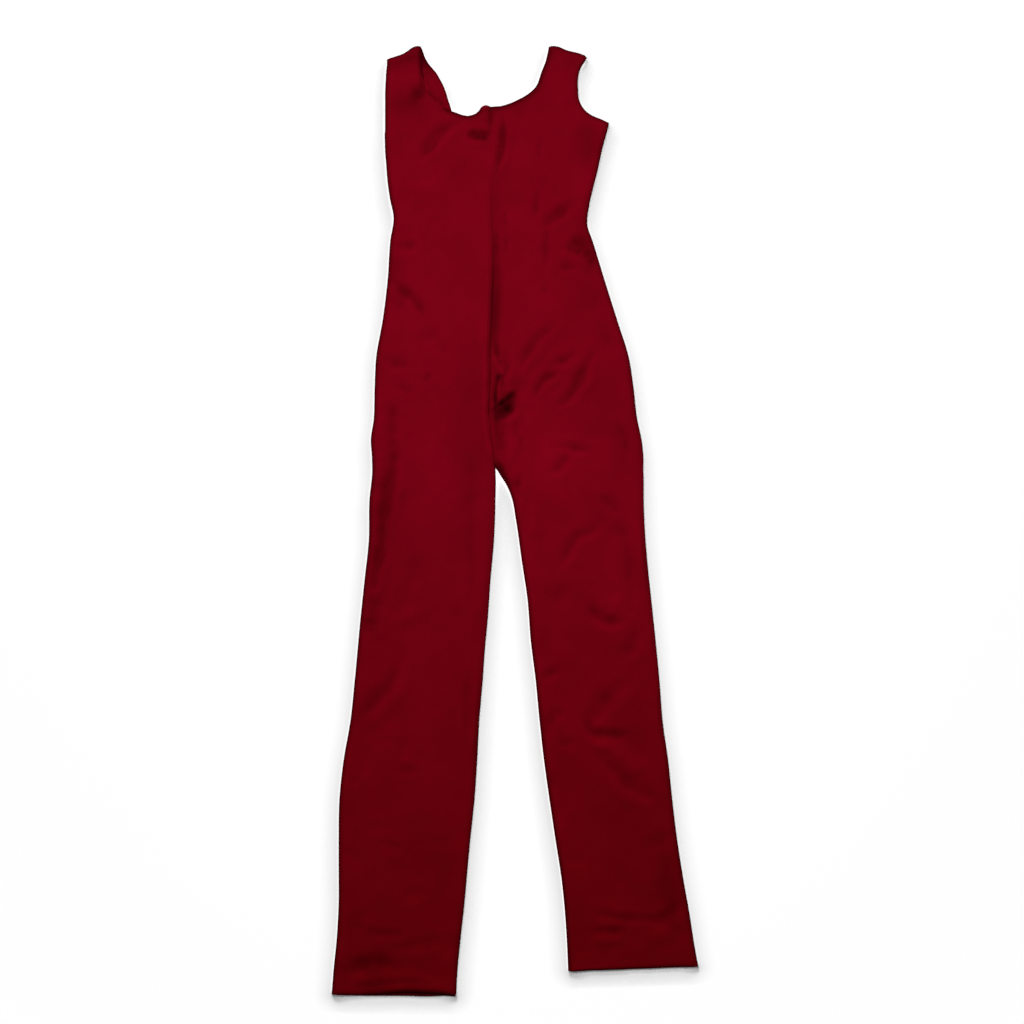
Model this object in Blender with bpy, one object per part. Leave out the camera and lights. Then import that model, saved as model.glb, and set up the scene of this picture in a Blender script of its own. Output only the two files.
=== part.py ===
# Sleeveless stretch jumpsuit, laid flat on its back with the front up.
# X runs across it, +Y towards the neck, +Z up. The wearer's right half is on -X.
# Every panel is one layer of jersey: a grid over its own rows, given its wall by Solidify.

from collections import namedtuple
from math import cos, pi, radians, sin, sqrt

import bmesh
import bpy
from mathutils import Vector

MM = 0.001  # the sizes below are in millimetres, the scene is in metres

# Driving dimensions
WALL = 1.0  # thickness of one layer of jersey
GAP = 0.3  # clearance between two pieces that touch
INSIDE = 3.1  # clear height between the front and the back layer
CROWN = 0.4  # how far the middle of the front stands above its edges
NECK_HEM = 8.0  # width of the turned neck edge
ARM_HEM = 6.5  # width of the turned armhole edges
ANKLE_HEM = 20.0  # depth of the turned ankle hems
TUCK_FLAT = 7.0  # how much of the left front lies under the centre fold
TUCK_RISE = 9.0  # width over which it climbs out to its own height
LIFT_REACH = 12.0  # how far a raised neck point pulls on its row
SHOULDER_BOW = 4.0  # how far the middle of a shoulder seam stands above its ends
CENTRE_SEAM = -37.0  # where the neck edge crosses the centre seams

# Heights of the middle of each layer above the surface it rests on
BACK_MID = WALL / 2
FRONT_MID = BACK_MID + WALL + INSIDE
TUCK_MID = BACK_MID + WALL + GAP
LINER = WALL + GAP  # from one layer to the layer turned in beside it

ARC = (0.0, 45.0, 90.0)  # a sewn edge's points, in degrees from its seam
RIM_TILT = WALL * sin(radians(ARC[1] / 2))  # a wall's rim stands square to the last chord
ROLL = (FRONT_MID - BACK_MID - GAP - RIM_TILT) / 2  # radius of a sewn edge at its seam
TURN = (FRONT_MID - BACK_MID) / 2 - LINER  # radius where a hem turns from front to back
TURN_IN = LINER + WALL / 2 + TURN  # from the outline to the middle of that turn
TURN_ARC = (0.0, 45.0, 90.0, 135.0, 180.0)  # a hem's points, from the front layer to the back
ACROSS = 5  # points between the two edges of a row

# One half of the suit is a row of stations from the ankle to the shoulder. Each runs from its
# side (or armhole) point to a point on the front's inner edge and one on the back's inner edge.
# lift raises the front's neck point. The last four are 1 or 0: the side, the front's inner edge
# is sewn to the other layer, the front is tucked under the centre fold, the back's inner edge is sewn.
Row = namedtuple(
    "Row", "side_x side_y front_x front_y lift back_x back_y side front tuck back"
)

RIGHT_ROWS = [Row(*values) for values in (
    (-263, -680, -86, -678, 0, -86, -678, 1, 1, 0, 1),
    (-260, -640, -84, -640, 0, -84, -640, 1, 1, 0, 1),
    (-256, -600, -80, -600, 0, -80, -600, 1, 1, 0, 1),
    (-253, -545, -74, -545, 0, -74, -545, 1, 1, 0, 1),
    (-253, -500, -70, -500, 0, -70, -500, 1, 1, 0, 1),
    (-253, -457, -66, -457, 0, -66, -457, 1, 1, 0, 1),
    (-252, -400, -60, -400, 0, -60, -400, 1, 1, 0, 1),
    (-246, -343, -56, -343, 0, -56, -343, 1, 1, 0, 1),
    (-236, -285, -53, -285, 0, -53, -285, 1, 1, 0, 1),
    (-230, -228, -48, -228, 0, -48, -228, 1, 1, 0, 1),
    (-226, -185, -45, -185, 0, -45, -185, 1, 1, 0, 1),
    (-222, -142, -41, -142, 0, -41, -142, 1, 1, 0, 1),
    (-216, -85, -37, -85, 0, -37, -85, 1, 1, 0, 1),
    (-210, -28, -32, -28, 0, -32, -28, 1, 1, 0, 1),
    (-209, 29, -30, 29, 0, -30, 29, 1, 1, 0, 1),
    (-205, 72, -30, 72, 0, -30, 72, 1, 1, 0, 1),
    (-205.5, 92, -32, 92, 0, -32.2, 92, 1, 1, 0, 0),
    (-207, 115, -35, 115, 0, -33, 115, 1, 1, 0, 0),
    (-203, 144, -37, 144, 0, -34, 144, 1, 1, 0, 0),
    (-201.5, 190, -35.5, 190, 0, -34, 190, 1, 1, 0, 0),
    (-199.5, 232, -34, 232, 0, -34, 232, 1, 1, 0, 0),
    (-190, 287, -32.5, 287, 0, -34, 287, 1, 1, 0, 0),
    (-183, 344, -31.5, 344, 0, -34, 344, 1, 1, 0, 0),
    (-179, 401, -33, 401, 0, -34.5, 401, 1, 1, 0, 0),
    (-174.5, 433, -34.5, 433, 0, -35.1, 433, 1, 1, 0, 0),
    (-180, 462, -36, 468, 0, -36, 464, 1, 1, 0, 0),
    (-183.5, 488, -36.5, 494, 0, -36.5, 490, 1, 0, 0, 0),
    (-185, 508, -37, 518, 0, -37, 512, 1, 0, 0, 0),
    (-186.5, 526, -37, 540, 0, -37, 532, 1, 0, 0, 0),
    (-187, 541, -37, 562, 4, -52, 536, 1, 0, 0, 0),
    (-187, 552, -37, 578, 15, -66, 545, 0, 0, 0, 0),
    (-187, 561, -52, 576, 16, -77, 557, 0, 0, 0, 0),
    (-187, 569, -61, 575, 5, -86, 570, 0, 0, 0, 0),
    (-187, 577, -71, 575, 0, -91, 580, 0, 0, 0, 0),
    (-187, 586, -84, 579, 0, -95, 590, 0, 0, 0, 0),
    (-187, 596, -97, 585.5, 0, -99, 602, 0, 0, 0, 0),
    (-187, 608, -113, 597, 0, -103, 615, 0, 0, 0, 0),
    (-186.5, 622, -127, 612, 0, -109, 630, 0, 0, 0, 0),
    (-185.5, 640, -133, 638, 0, -119, 649, 0, 0, 0, 0),
    (-184, 659, -136, 678, 0, -136, 678, 0, 0, 0, 0),
)]

LEFT_ROWS = [Row(*values) for values in (
    (260, -637, 75, -644, 0, 75, -644, 1, 1, 0, 1),
    (254, -604, 73.5, -608, 0, 73.5, -608, 1, 1, 0, 1),
    (248, -565, 71, -568, 0, 71, -568, 1, 1, 0, 1),
    (239, -514, 66, -516, 0, 66, -516, 1, 1, 0, 1),
    (230, -457, 57, -457, 0, 57, -457, 1, 1, 0, 1),
    (223, -400, 48.5, -400, 0, 48.5, -400, 1, 1, 0, 1),
    (217, -343, 40.5, -343, 0, 40.5, -343, 1, 1, 0, 1),
    (209, -285, 34, -285, 0, 34, -285, 1, 1, 0, 1),
    (204.5, -228, 28.5, -228, 0, 28.5, -228, 1, 1, 0, 1),
    (199, -171, 21.5, -171, 0, 21.5, -171, 1, 1, 0, 1),
    (193, -114, 17, -114, 0, 17, -114, 1, 1, 0, 1),
    (187, -56, 8.5, -56, 0, 8.5, -56, 1, 1, 0, 1),
    (183, 0, 0.5, 0, 0, 0.5, 0, 1, 1, 0, 1),
    (182, 29, -6, 34, 0, -6, 34, 1, 1, 0, 1),
    (182, 55, -14, 53, 0, -14, 53, 1, 1, 0, 1),
    (181.5, 75, -23, 67, 0, -23, 67, 1, 1, 0, 1),
    (181.5, 92, -29.3, 80, 0, -29.3, 80, 1, 1, 0, 1),
    (180.5, 104, -31.6, 94, 0, -31.4, 94, 1, 1, 0, 0),
    (179, 116, -33.4, 108, 0, -32.4, 108, 1, 1, 1, 0),
    (176, 130, -41, 124, 0, -33, 124, 1, 1, 1, 0),
    (173, 144, -43, 144, 0, -33.7, 144, 1, 1, 1, 0),
    (167.5, 190, -42, 190, 0, -33.7, 190, 1, 1, 1, 0),
    (161, 232, -40.5, 232, 0, -33.7, 232, 1, 1, 1, 0),
    (144, 287, -39, 287, 0, -33.7, 287, 1, 1, 1, 0),
    (126, 344, -38, 344, 0, -33.7, 344, 1, 1, 1, 0),
    (108.5, 401, -39.5, 401, 0, -34.2, 401, 1, 1, 1, 0),
    (101.5, 422, -40.5, 422, 0, -34.5, 422, 1, 1, 1, 0),
    (104, 450, -41.5, 442, 0, -35, 443, 1, 1, 1, 0),
    (110, 476, -42.8, 462, 0, -35.7, 464, 1, 1, 1, 0),
    (115, 496, -42.8, 480, 0, -36.1, 484, 1, 1, 1, 0),
    (119, 514, -36.3, 497, 0, -36.4, 500, 1, 0, 1, 0),
    (123, 532, -36.6, 514, 0, -36.6, 516, 1, 0, 0, 0),
    (128, 550, -36.7, 532, 0, -36.7, 532, 1, 0, 0, 0),
    (132, 568, -36.7, 550, 0, -20, 538, 0, 0, 0, 0),
    (122, 573, -36.7, 568, 0, -6, 546, 0, 0, 0, 0),
    (112, 577, -36.7, 584, 9, 4, 556, 0, 0, 0, 0),
    (102, 583, -24, 587, 3.5, 12, 566, 0, 0, 0, 0),
    (95, 591, -10, 592, 0, 18, 577, 0, 0, 0, 0),
    (90, 602, 9, 604, 0, 24, 590, 0, 0, 0, 0),
    (88.5, 616, 29, 621, 0, 31, 607, 0, 0, 0, 0),
    (88.5, 631, 36, 640, 0, 37, 630, 0, 0, 0, 0),
    (92, 646, 43, 658, 0, 42, 655, 0, 0, 0, 0),
    (101, 661, 47, 677, 0, 47, 677, 0, 0, 0, 0),
)]

JERSEY = (0.19, 0.0025, 0.0075, 1.0)  # linear colour
HEM = (0.15, 0.002, 0.006, 1.0)


def plan_centre():
    """Middle of the suit's outline, which becomes the part's origin."""
    rows = RIGHT_ROWS + LEFT_ROWS
    xs = [x for row in rows for x in (row.side_x, row.front_x)]
    ys = [y for row in rows for y in (row.side_y, row.front_y + row.lift)]
    return Vector(((min(xs) + max(xs)) / 2, (min(ys) + max(ys)) / 2, 0))


CENTRE = plan_centre()


def side_point(row):
    return Vector((row.side_x, row.side_y, 0))


def inner_point(row, layer):
    if layer == "front":
        return Vector((row.front_x, row.front_y, 0))
    return Vector((row.back_x, row.back_y, 0))


def edge_drop(distance, closed):
    """How far the wall bends towards the other layer this far from a sewn edge."""
    if distance >= ROLL:
        return 0.0
    return closed * ROLL * (1 - sqrt(1 - (1 - distance / ROLL) ** 2))


def tuck_drop(distance):
    """How far the left front lies down where the centre fold covers it."""
    t = min(max((distance - TUCK_FLAT) / TUCK_RISE, 0.0), 1.0)
    return (FRONT_MID - TUCK_MID) * (1 - t * t * (3 - 2 * t))


def stations(length, layer):
    """Distances from a row's side point. The front has more of them beside the centre fold."""
    rim = [ROLL * (1 - cos(radians(a))) for a in ARC]
    inner = rim[:]
    if layer == "front":
        inner += [TUCK_FLAT, TUCK_FLAT + TUCK_RISE / 2, TUCK_FLAT + TUCK_RISE]
    start, end = rim[-1], length - inner[-1]
    middle = [start + (end - start) * k / (ACROSS + 1) for k in range(1, ACROSS + 1)]
    return rim + middle + [length - d for d in reversed(inner)]


def row_points(row, layer, end_drop=0.0, bow=0.0):
    """One row of a panel, from its side to its inner edge, at the middle of the wall."""
    closed_inner = row.front if layer == "front" else row.back
    side, inner = side_point(row), inner_point(row, layer)
    along = (inner - side).normalized()
    side += along * (WALL / 2) * row.side
    inner -= along * (WALL / 2) * closed_inner
    length = (inner - side).length
    points = []
    for d in stations(length, layer):
        to_inner = length - d
        inner_drop = edge_drop(to_inner, closed_inner)
        if layer == "front":
            inner_drop += row.tuck * (tuck_drop(to_inner) - inner_drop)
        drop = max(edge_drop(d, row.side), inner_drop, end_drop)
        point = side + along * d
        point.y += bow * sin(pi * d / length)
        if layer == "front":
            point.y += row.lift * max(0.0, 1 - to_inner / LIFT_REACH) ** 2
            point.z = FRONT_MID + CROWN * sin(pi * d / length) - drop
        else:
            point.z = BACK_MID + drop
        points.append(point)
    return points


def between(row, other, distance):
    """The row at this distance from one row towards another, measured at their sides."""
    t = distance / (side_point(other) - side_point(row)).length
    return Row(*(a + (b - a) * t for a, b in zip(row, other)))


def panel_rows(rows, layer):
    """All rows of a panel. At the shoulder it bends down, or up, to meet the other layer."""
    grid = [row_points(row, layer) for row in rows[:-1]]
    top, below = rows[-1], rows[-2]
    for angle in reversed(ARC):
        distance = ROLL * (1 - cos(radians(angle)))
        row = between(top, below, WALL / 2 + distance)
        grid.append(row_points(row, layer, edge_drop(distance, 1.0), SHOULDER_BOW))
    return grid


def skin(name, grid, colour, ring=False):
    """A named wall of jersey over a grid of points. A ring's last row joins its first."""
    mesh = bpy.data.meshes.new(name)
    made = bmesh.new()
    corners = [[made.verts.new((p - CENTRE) * MM) for p in row] for row in grid]
    last = len(corners) if ring else len(corners) - 1
    for i in range(last):
        here, there = corners[i], corners[(i + 1) % len(corners)]
        for k in range(len(here) - 1):
            made.faces.new((here[k], here[k + 1], there[k + 1], there[k]))
    bmesh.ops.recalc_face_normals(made, faces=made.faces)
    made.to_mesh(mesh)
    made.free()
    mesh.shade_smooth()

    piece = bpy.data.objects.new(name, mesh)
    bpy.context.collection.objects.link(piece)
    wall = piece.modifiers.new("wall", "SOLIDIFY")
    wall.thickness = WALL * MM
    wall.offset = 0.0
    wall.use_even_offset = True
    mesh.materials.append(cloth(name, colour))
    return piece


def cloth(name, colour):
    """Matte jersey."""
    material = bpy.data.materials.new(name)
    material.use_nodes = True
    shader = material.node_tree.nodes["Principled BSDF"]
    shader.inputs["Base Color"].default_value = colour
    shader.inputs["Roughness"].default_value = 0.85
    shader.inputs["Metallic"].default_value = 0.0
    return material


def make_panel(name, rows, layer):
    skin(name, panel_rows(rows, layer), JERSEY)


def make_ankle_hem(name, rows):
    """The turned-up end of a leg: a flattened tube just inside both layers."""
    bottom, above = rows[0], rows[1]
    grid = []
    for distance in (GAP, GAP + ANKLE_HEM / 2, GAP + ANKLE_HEM):
        row = between(bottom, above, distance)
        side, inner = side_point(row), inner_point(row, "front")
        along = (inner - side).normalized()
        length = (inner - side).length
        flat = length - 2 * TURN_IN
        middle = (BACK_MID + FRONT_MID) / 2
        loop = []
        for angle in reversed(TURN_ARC):
            d = TURN_IN - TURN * sin(radians(angle))
            loop.append((d, middle + TURN * cos(radians(angle))))
        for k in range(1, ACROSS + 1):
            t = k / (ACROSS + 1)
            crown = CROWN * sin(pi * (TURN_IN + flat * t) / length)
            loop.append((TURN_IN + flat * t, middle + TURN + crown))
        for angle in TURN_ARC:
            d = length - TURN_IN + TURN * sin(radians(angle))
            loop.append((d, middle + TURN * cos(radians(angle))))
        for k in range(ACROSS, 0, -1):
            loop.append((TURN_IN + flat * k / (ACROSS + 1), middle - TURN))
        grid.append([side + along * d + Vector((0, 0, z)) for d, z in loop])
    around = [list(points) for points in zip(*grid)]
    skin(name, around, HEM, ring=True)


def edge_pair(edge, direction, tangent, width, height):
    """The two edges of a turned hem at one point of a panel's edge, the outer one first."""
    slant = max(abs(direction.cross(tangent).z), 0.5)
    up = Vector((0, 0, height))
    return [edge + direction * (GAP / slant) + up, edge + direction * (width / slant) + up]


def hem_path(edges, directions, width, height):
    """Pairs of hem points along a panel's open edge."""
    pairs = []
    for i, (edge, direction) in enumerate(zip(edges, directions)):
        before, after = edges[max(i - 1, 0)], edges[min(i + 1, len(edges) - 1)]
        pairs.append(edge_pair(edge, direction, (after - before).normalized(), width, height))
    return pairs


def hem_turn(front_pair, back_pair, outward):
    """Pairs that carry a hem round from the front layer to the back one."""
    pairs = []
    for angle in TURN_ARC[1:-1]:
        push = outward * TURN * sin(radians(angle))
        share = (1 - cos(radians(angle))) / 2
        pairs.append([a.lerp(b, share) + push for a, b in zip(front_pair, back_pair)])
    return pairs


def neck_edge(rows, layer, first):
    """A layer's neck points from its centre to its shoulder, with the way into the cloth."""
    used = rows[first:-1] + [between(rows[-1], rows[-2], TURN_IN)]
    edges, directions = [], []
    for row in used:
        inner = inner_point(row, layer)
        directions.append((side_point(row) - inner).normalized())
        if layer == "front":
            inner.y += row.lift
        edges.append(inner)
    return edges, directions


def arm_edge(rows, layer, first):
    """A layer's armhole points from the underarm to its shoulder, with the way into the cloth."""
    used = rows[first:-1] + [between(rows[-1], rows[-2], TURN_IN)]
    edges = [side_point(row) for row in used]
    directions = [(inner_point(row, layer) - side_point(row)).normalized() for row in used]
    return edges, directions


def neck_start(rows, layer):
    """Index of the last row whose inner point is still on that layer's centre seam."""
    return max(
        i for i, row in enumerate(rows)
        if abs(inner_point(row, layer).x - CENTRE_SEAM) < 1
    )


def arm_start(rows):
    """Index of the first row whose side is an open armhole."""
    return next(i for i, row in enumerate(rows) if not row.side)


def make_neck_hem():
    """One ring: right front up to the shoulder, down the back, up to the left shoulder, down."""
    front_z, back_z = FRONT_MID - LINER, BACK_MID + LINER
    sides = []
    for rows in (RIGHT_ROWS, LEFT_ROWS):
        front = hem_path(*neck_edge(rows, "front", neck_start(rows, "front")), NECK_HEM, front_z)
        back = hem_path(*neck_edge(rows, "back", neck_start(rows, "back")), NECK_HEM, back_z)
        outward = (side_point(rows[-1]) - side_point(rows[-2])).normalized()
        sides.append((front, hem_turn(front[-1], back[-1], outward), back))
    (right_front, right_turn, right_back), (left_front, left_turn, left_back) = sides
    ring = right_front + right_turn + right_back[::-1]
    ring += left_back[1:] + left_turn[::-1] + left_front[:0:-1]
    skin("neck_hem", ring, HEM, ring=True)


def make_arm_hem(name, rows):
    """One ring: up the front's armhole, over the shoulder and down the back's."""
    front_z, back_z = FRONT_MID - LINER, BACK_MID + LINER
    first = arm_start(rows)
    front = hem_path(*arm_edge(rows, "front", first), ARM_HEM, front_z)
    back = hem_path(*arm_edge(rows, "back", first), ARM_HEM, back_z)
    up = (side_point(rows[-1]) - side_point(rows[-2])).normalized()
    down = (side_point(rows[first - 1]) - side_point(rows[first])).normalized()
    ring = front + hem_turn(front[-1], back[-1], up) + back[::-1]
    ring += hem_turn(front[0], back[0], down)[::-1]
    skin(name, ring, HEM, ring=True)


def main():
    for old in list(bpy.data.objects):
        bpy.data.objects.remove(old, do_unlink=True)

    make_panel("back_right", RIGHT_ROWS, "back")
    make_panel("back_left", LEFT_ROWS, "back")
    make_panel("front_right", RIGHT_ROWS, "front")
    make_panel("front_left", LEFT_ROWS, "front")
    make_ankle_hem("ankle_hem_right", RIGHT_ROWS)
    make_ankle_hem("ankle_hem_left", LEFT_ROWS)
    make_neck_hem()
    make_arm_hem("armhole_hem_right", RIGHT_ROWS)
    make_arm_hem("armhole_hem_left", LEFT_ROWS)


main()
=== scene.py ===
# Sleeveless stretch jumpsuit laid flat, front up: cloth, hems, stitches, table, light and camera.
# Everything is in metres in the CAD frame. Lists of folds are in millimetres on the same axes.
# The wearer's right half lies on -X, the neck on +Y.
from math import pi, radians

import bmesh
import bpy
import numpy as np
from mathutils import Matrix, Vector, noise
from mathutils.bvhtree import BVHTree


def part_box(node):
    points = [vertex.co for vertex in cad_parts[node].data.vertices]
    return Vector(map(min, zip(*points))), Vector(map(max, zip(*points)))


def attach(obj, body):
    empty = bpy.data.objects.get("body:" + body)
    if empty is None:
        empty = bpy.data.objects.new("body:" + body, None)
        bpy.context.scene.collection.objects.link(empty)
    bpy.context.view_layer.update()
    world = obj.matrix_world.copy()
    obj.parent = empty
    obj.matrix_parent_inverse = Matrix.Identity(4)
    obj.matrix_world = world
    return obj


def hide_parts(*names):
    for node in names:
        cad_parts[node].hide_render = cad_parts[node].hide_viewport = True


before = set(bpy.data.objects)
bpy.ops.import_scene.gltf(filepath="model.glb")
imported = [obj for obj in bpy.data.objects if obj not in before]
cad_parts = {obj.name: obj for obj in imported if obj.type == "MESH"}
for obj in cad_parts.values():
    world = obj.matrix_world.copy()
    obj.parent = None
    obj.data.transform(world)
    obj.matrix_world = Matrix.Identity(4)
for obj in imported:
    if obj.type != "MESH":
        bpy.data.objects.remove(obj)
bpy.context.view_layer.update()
bpy.ops.object.select_all(action="DESELECT")
bpy.context.scene.view_settings.view_transform = "Standard"
mm = 0.001

# what a user would change about the cloth itself
jersey = {
    "thick": 0.9 * mm,
    "seamRoll": 2.3 * mm,  # radius of a sewn or folded edge
    "hemRoll": 1.0 * mm,  # radius of a turned, stitched edge
    "crown": 0.4 * mm,
    "edgeFull": {-1: 2.8 * mm, 1: 2.3 * mm},  # extra height just inside the side edges
    "edgeReach": 7.0 * mm,
    "edgeColumns": (0.0, 0.17, 0.67, 1.4, 2.3, 3.4, 4.8, 6.5),  # mm from each edge
    "columns": {1: 62, -1: 34},  # between the edge columns, front and back
    "rowGap": {1: 2.9 * mm, -1: 4.93 * mm},
    "fineRowGap": {1: 1.5 * mm, -1: 2.55 * mm},
    "spread": 0.6 * mm,  # how far a sewn edge bellies out past its seam
    # seed, height and spread of the slow rise and fall: two on the front, the last on the back
    "waves": ((2.0, 0.8 * mm, 0.052), (5.0, 0.67 * mm, 0.022), (9.0, 0.35 * mm, 0.05)),
    "softFloor": 2.4 * mm,  # folds of the front are eased off below this height
    "floor": 2.05 * mm,
}


def smoothStep(t):
    t = np.clip(t, 0.0, 1.0)
    return t * t * (3.0 - 2.0 * t)


def bell(far, width):
    # 1 in the middle, next to nothing at twice the width
    return np.exp(-((far / width) ** 2))


def nearEdge(distance, reach):
    # 1 at an edge, falling evenly to 0 at the reach
    return np.clip(1.0 - distance / reach, 0.0, 1.0)


def roll(distance, radius):
    # how far a rounded edge has dropped this far in from it
    t = nearEdge(distance, radius)
    return radius * (1.0 - np.sqrt(np.maximum(1.0 - t * t, 0.0)))


def softRoll(distance, reach, drop, power=1.6):
    # the fall of a full, rounded side edge
    return drop * nearEdge(distance, reach) ** power


def puff(distance, reach):
    # cloth stands fuller just inside a folded or sewn edge
    return np.where(distance < reach, 1.0, bell(distance - reach, 2.2 * reach))


def lengthsAlong(points):
    steps = np.linalg.norm(np.diff(points, axis=0), axis=1)
    return np.concatenate(([0.0], np.cumsum(steps)))


def smoothPath(points, stations):
    # a curve through the points, read at lengths along them; sharp corners stay sharp
    points = np.asarray(points, float)
    at = lengthsAlong(points)
    steps = np.diff(at)
    slopes = np.diff(points, axis=0) / steps[:, None]
    tangents = np.zeros_like(points)
    tangents[0], tangents[-1] = slopes[0], slopes[-1]
    before, after = steps[:-1, None], steps[1:, None]
    tangents[1:-1] = (slopes[:-1] * after + slopes[1:] * before) / (before + after)
    bend = np.sum(slopes[:-1] * slopes[1:], axis=1)
    tangents[1:-1] *= np.clip((bend - 0.2) / 0.6, 0.15, 1.0)[:, None]
    k = np.clip(np.searchsorted(at, stations, side="right") - 1, 0, len(steps) - 1)
    h = steps[k][:, None]
    t = (np.asarray(stations)[:, None] - at[k][:, None]) / h
    a = points[k] * (2 * t**3 - 3 * t**2 + 1) + points[k + 1] * (3 * t**2 - 2 * t**3)
    return a + tangents[k] * h * (t**3 - 2 * t**2 + t) + tangents[k + 1] * h * (t**3 - t**2)


def lengthAt(points, y):
    # length along a chain where it first passes this y
    at = lengthsAlong(points)
    k = int(np.argmax(points[:, 1] >= y))
    a, b = points[k - 1, 1], points[k, 1]
    return at[k - 1] + (at[k] - at[k - 1]) * (y - a) / max(b - a, 1e-9)


def distanceTo(path, x, y):
    # distance to a path, the side of it, and how far along it as a share
    at = lengthsAlong(path)
    best = np.full(x.shape, 1e9)
    side, share = np.zeros(x.shape), np.zeros(x.shape)
    for k, (a, b) in enumerate(zip(path, path[1:])):
        d = b - a
        size = max(float(d @ d), 1e-12)
        t = np.clip(((x - a[0]) * d[0] + (y - a[1]) * d[1]) / size, 0.0, 1.0)
        ox, oy = x - a[0] - t * d[0], y - a[1] - t * d[1]
        far = ox * ox + oy * oy
        near = far < best
        best = np.where(near, far, best)
        side = np.where(near, np.sign(d[0] * oy - d[1] * ox), side)
        share = np.where(near, (at[k] + t * (at[k + 1] - at[k])) / at[-1], share)
    return np.sqrt(best), side, share


def crease(x, y, depth, width, lean, points, lip=0.32):
    # height of one crease: a trough, or a ridge where depth is negative, with raised lips;
    # lean puts more of the lip on its left (+1) or right (-1) as it runs
    points = np.array(points, float) * mm
    width = width * mm
    lowest, highest = points.min(0) - 4 * width, points.max(0) + 4 * width
    near = (x > lowest[0]) & (x < highest[0]) & (y > lowest[1]) & (y < highest[1])
    made = np.zeros(x.shape)
    if not near.any():
        return made
    if len(points) > 2:
        points = smoothPath(points, np.linspace(0, lengthsAlong(points)[-1], 4 * len(points)))
    far, side, share = distanceTo(points, x[near], y[near])
    ends = np.sin(pi * np.clip(share, 0.0, 1.0)) ** 0.8
    wander = np.sin(7.3 * share + points[0, 0] * 900) + np.sin(15.1 * share + points[0, 1] * 700)
    s = far * np.where(side == 0, 1, side) / (width * (0.85 + 0.35 * ends + 0.06 * wander))
    beyond = (0.1 + 0.9 * ends) * (1 + 0.13 * wander)
    left = 0.5 * (1 + lean) * np.exp(-((s - 1.7) ** 2) / 0.9)
    right = 0.5 * (1 - lean) * np.exp(-((s + 1.7) ** 2) / 0.9)
    made[near] = -depth * mm * beyond * (np.exp(-s * s) - 2 * lip * (left + right))
    return made


def unevenness(x, y, seed, tall, across):
    # slow rise and fall of cloth that was smoothed by hand
    spots = zip(x.ravel(), y.ravel())
    level = [noise.noise(Vector((a / across, b / across * 0.8, seed))) for a, b in spots]
    return np.array(level).reshape(x.shape) * tall


def putObject(name, data):
    thing = bpy.data.objects.new(name, data)
    bpy.context.collection.objects.link(thing)
    return thing


def selectOnly(thing):
    bpy.ops.object.select_all(action="DESELECT")
    thing.select_set(True)
    bpy.context.view_layer.objects.active = thing


def pieceName(words):
    first, *rest = words.split("_")
    return first + "".join(word.title() for word in rest)


# folds and creases: depth, width, lean, points from one end to the other
chestFolds = (
    (0.9, 5.0, 0.3, ((-166, 655), (-155, 659), (-142, 664))),
    (0.8, 7.5, 0.2, ((-122, 624), (-134, 615), (-147, 602))),
    (0.9, 14.0, 0.5, ((-126, 620), (-146, 604), (-160, 594), (-180, 590))),
    (2.2, 6.5, 0.4, ((-80, 570), (-97, 561), (-112, 547), (-124, 532), (-136, 515))),
    (2.6, 5.0, 0.2, ((-70, 553), (-58, 551), (-46, 551), (-34, 555))),
    (0.5, 3.6, 0.0, ((-35, 600), (-34.5, 580), (-36, 556))),
    (1.7, 4.5, 0.2, ((-16, 580), (-17.5, 556), (-18.5, 536), (-24, 512), (-29.5, 490))),
    (0.5, 7.0, 0.0, ((-70, 500), (-84, 492), (-98, 482))),
    (0.5, 8.0, 0.0, ((-118, 492), (-134, 488), (-152, 492))),
    (0.45, 7.0, 0.0, ((-146, 470), (-158, 462), (-168, 448))),
    (0.6, 3.6, 0.2, ((36, 544), (35, 530), (36, 514))),
    (0.5, 4.2, 0.2, ((46, 498), (46, 485), (45, 470))),
    (1.0, 4.2, 0.4, ((34, 474), (31, 456), (30, 442), (31, 426))),
    (1.5, 6.0, 0.3, ((40, 421), (52, 429), (64, 439), (76, 448), (90, 454))),
    (0.6, 4.2, 0.0, ((111, 536), (110, 524), (108, 508))),
    (-0.5, 12.0, 0.0, ((-30, 575), (20, 560), (60, 556))),
)
waistFolds = (
    (0.8, 4.0, 0.2, ((46, 422), (46, 408), (45, 392), (45, 376), (44, 352))),
    (-0.5, 6.0, 0.0, ((35, 418), (35, 404), (36, 390))),
    (2.0, 9.0, 0.4, ((74, 388), (90, 392), (104, 398))),
    (2.2, 5.0, 0.2, ((99, 385), (108, 374), (118, 362))),
    (0.7, 4.0, 0.0, ((62, 361), (74, 361), (88, 362))),
    (-0.9, 6.0, 0.0, ((62, 378), (70, 377), (80, 372))),
    (0.5, 4.0, 0.0, ((-15, 446), (-14.5, 430), (-13, 414))),
    (0.6, 4.0, 0.0, ((-12.5, 408), (-12.5, 392), (-13, 374))),
    (0.7, 8.0, 0.3, ((-170, 408), (-158, 408), (-146, 406))),
    (1.1, 6.5, 0.3, ((-178, 390), (-164, 391), (-148, 394), (-138, 398))),
    (-0.7, 8.0, 0.0, ((-176, 374), (-166, 376))),
    (0.5, 5.0, 0.0, ((-118, 432), (-112, 430), (-104, 430))),
    (0.4, 5.0, 0.0, ((56, 346), (66, 347))),
)
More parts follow.
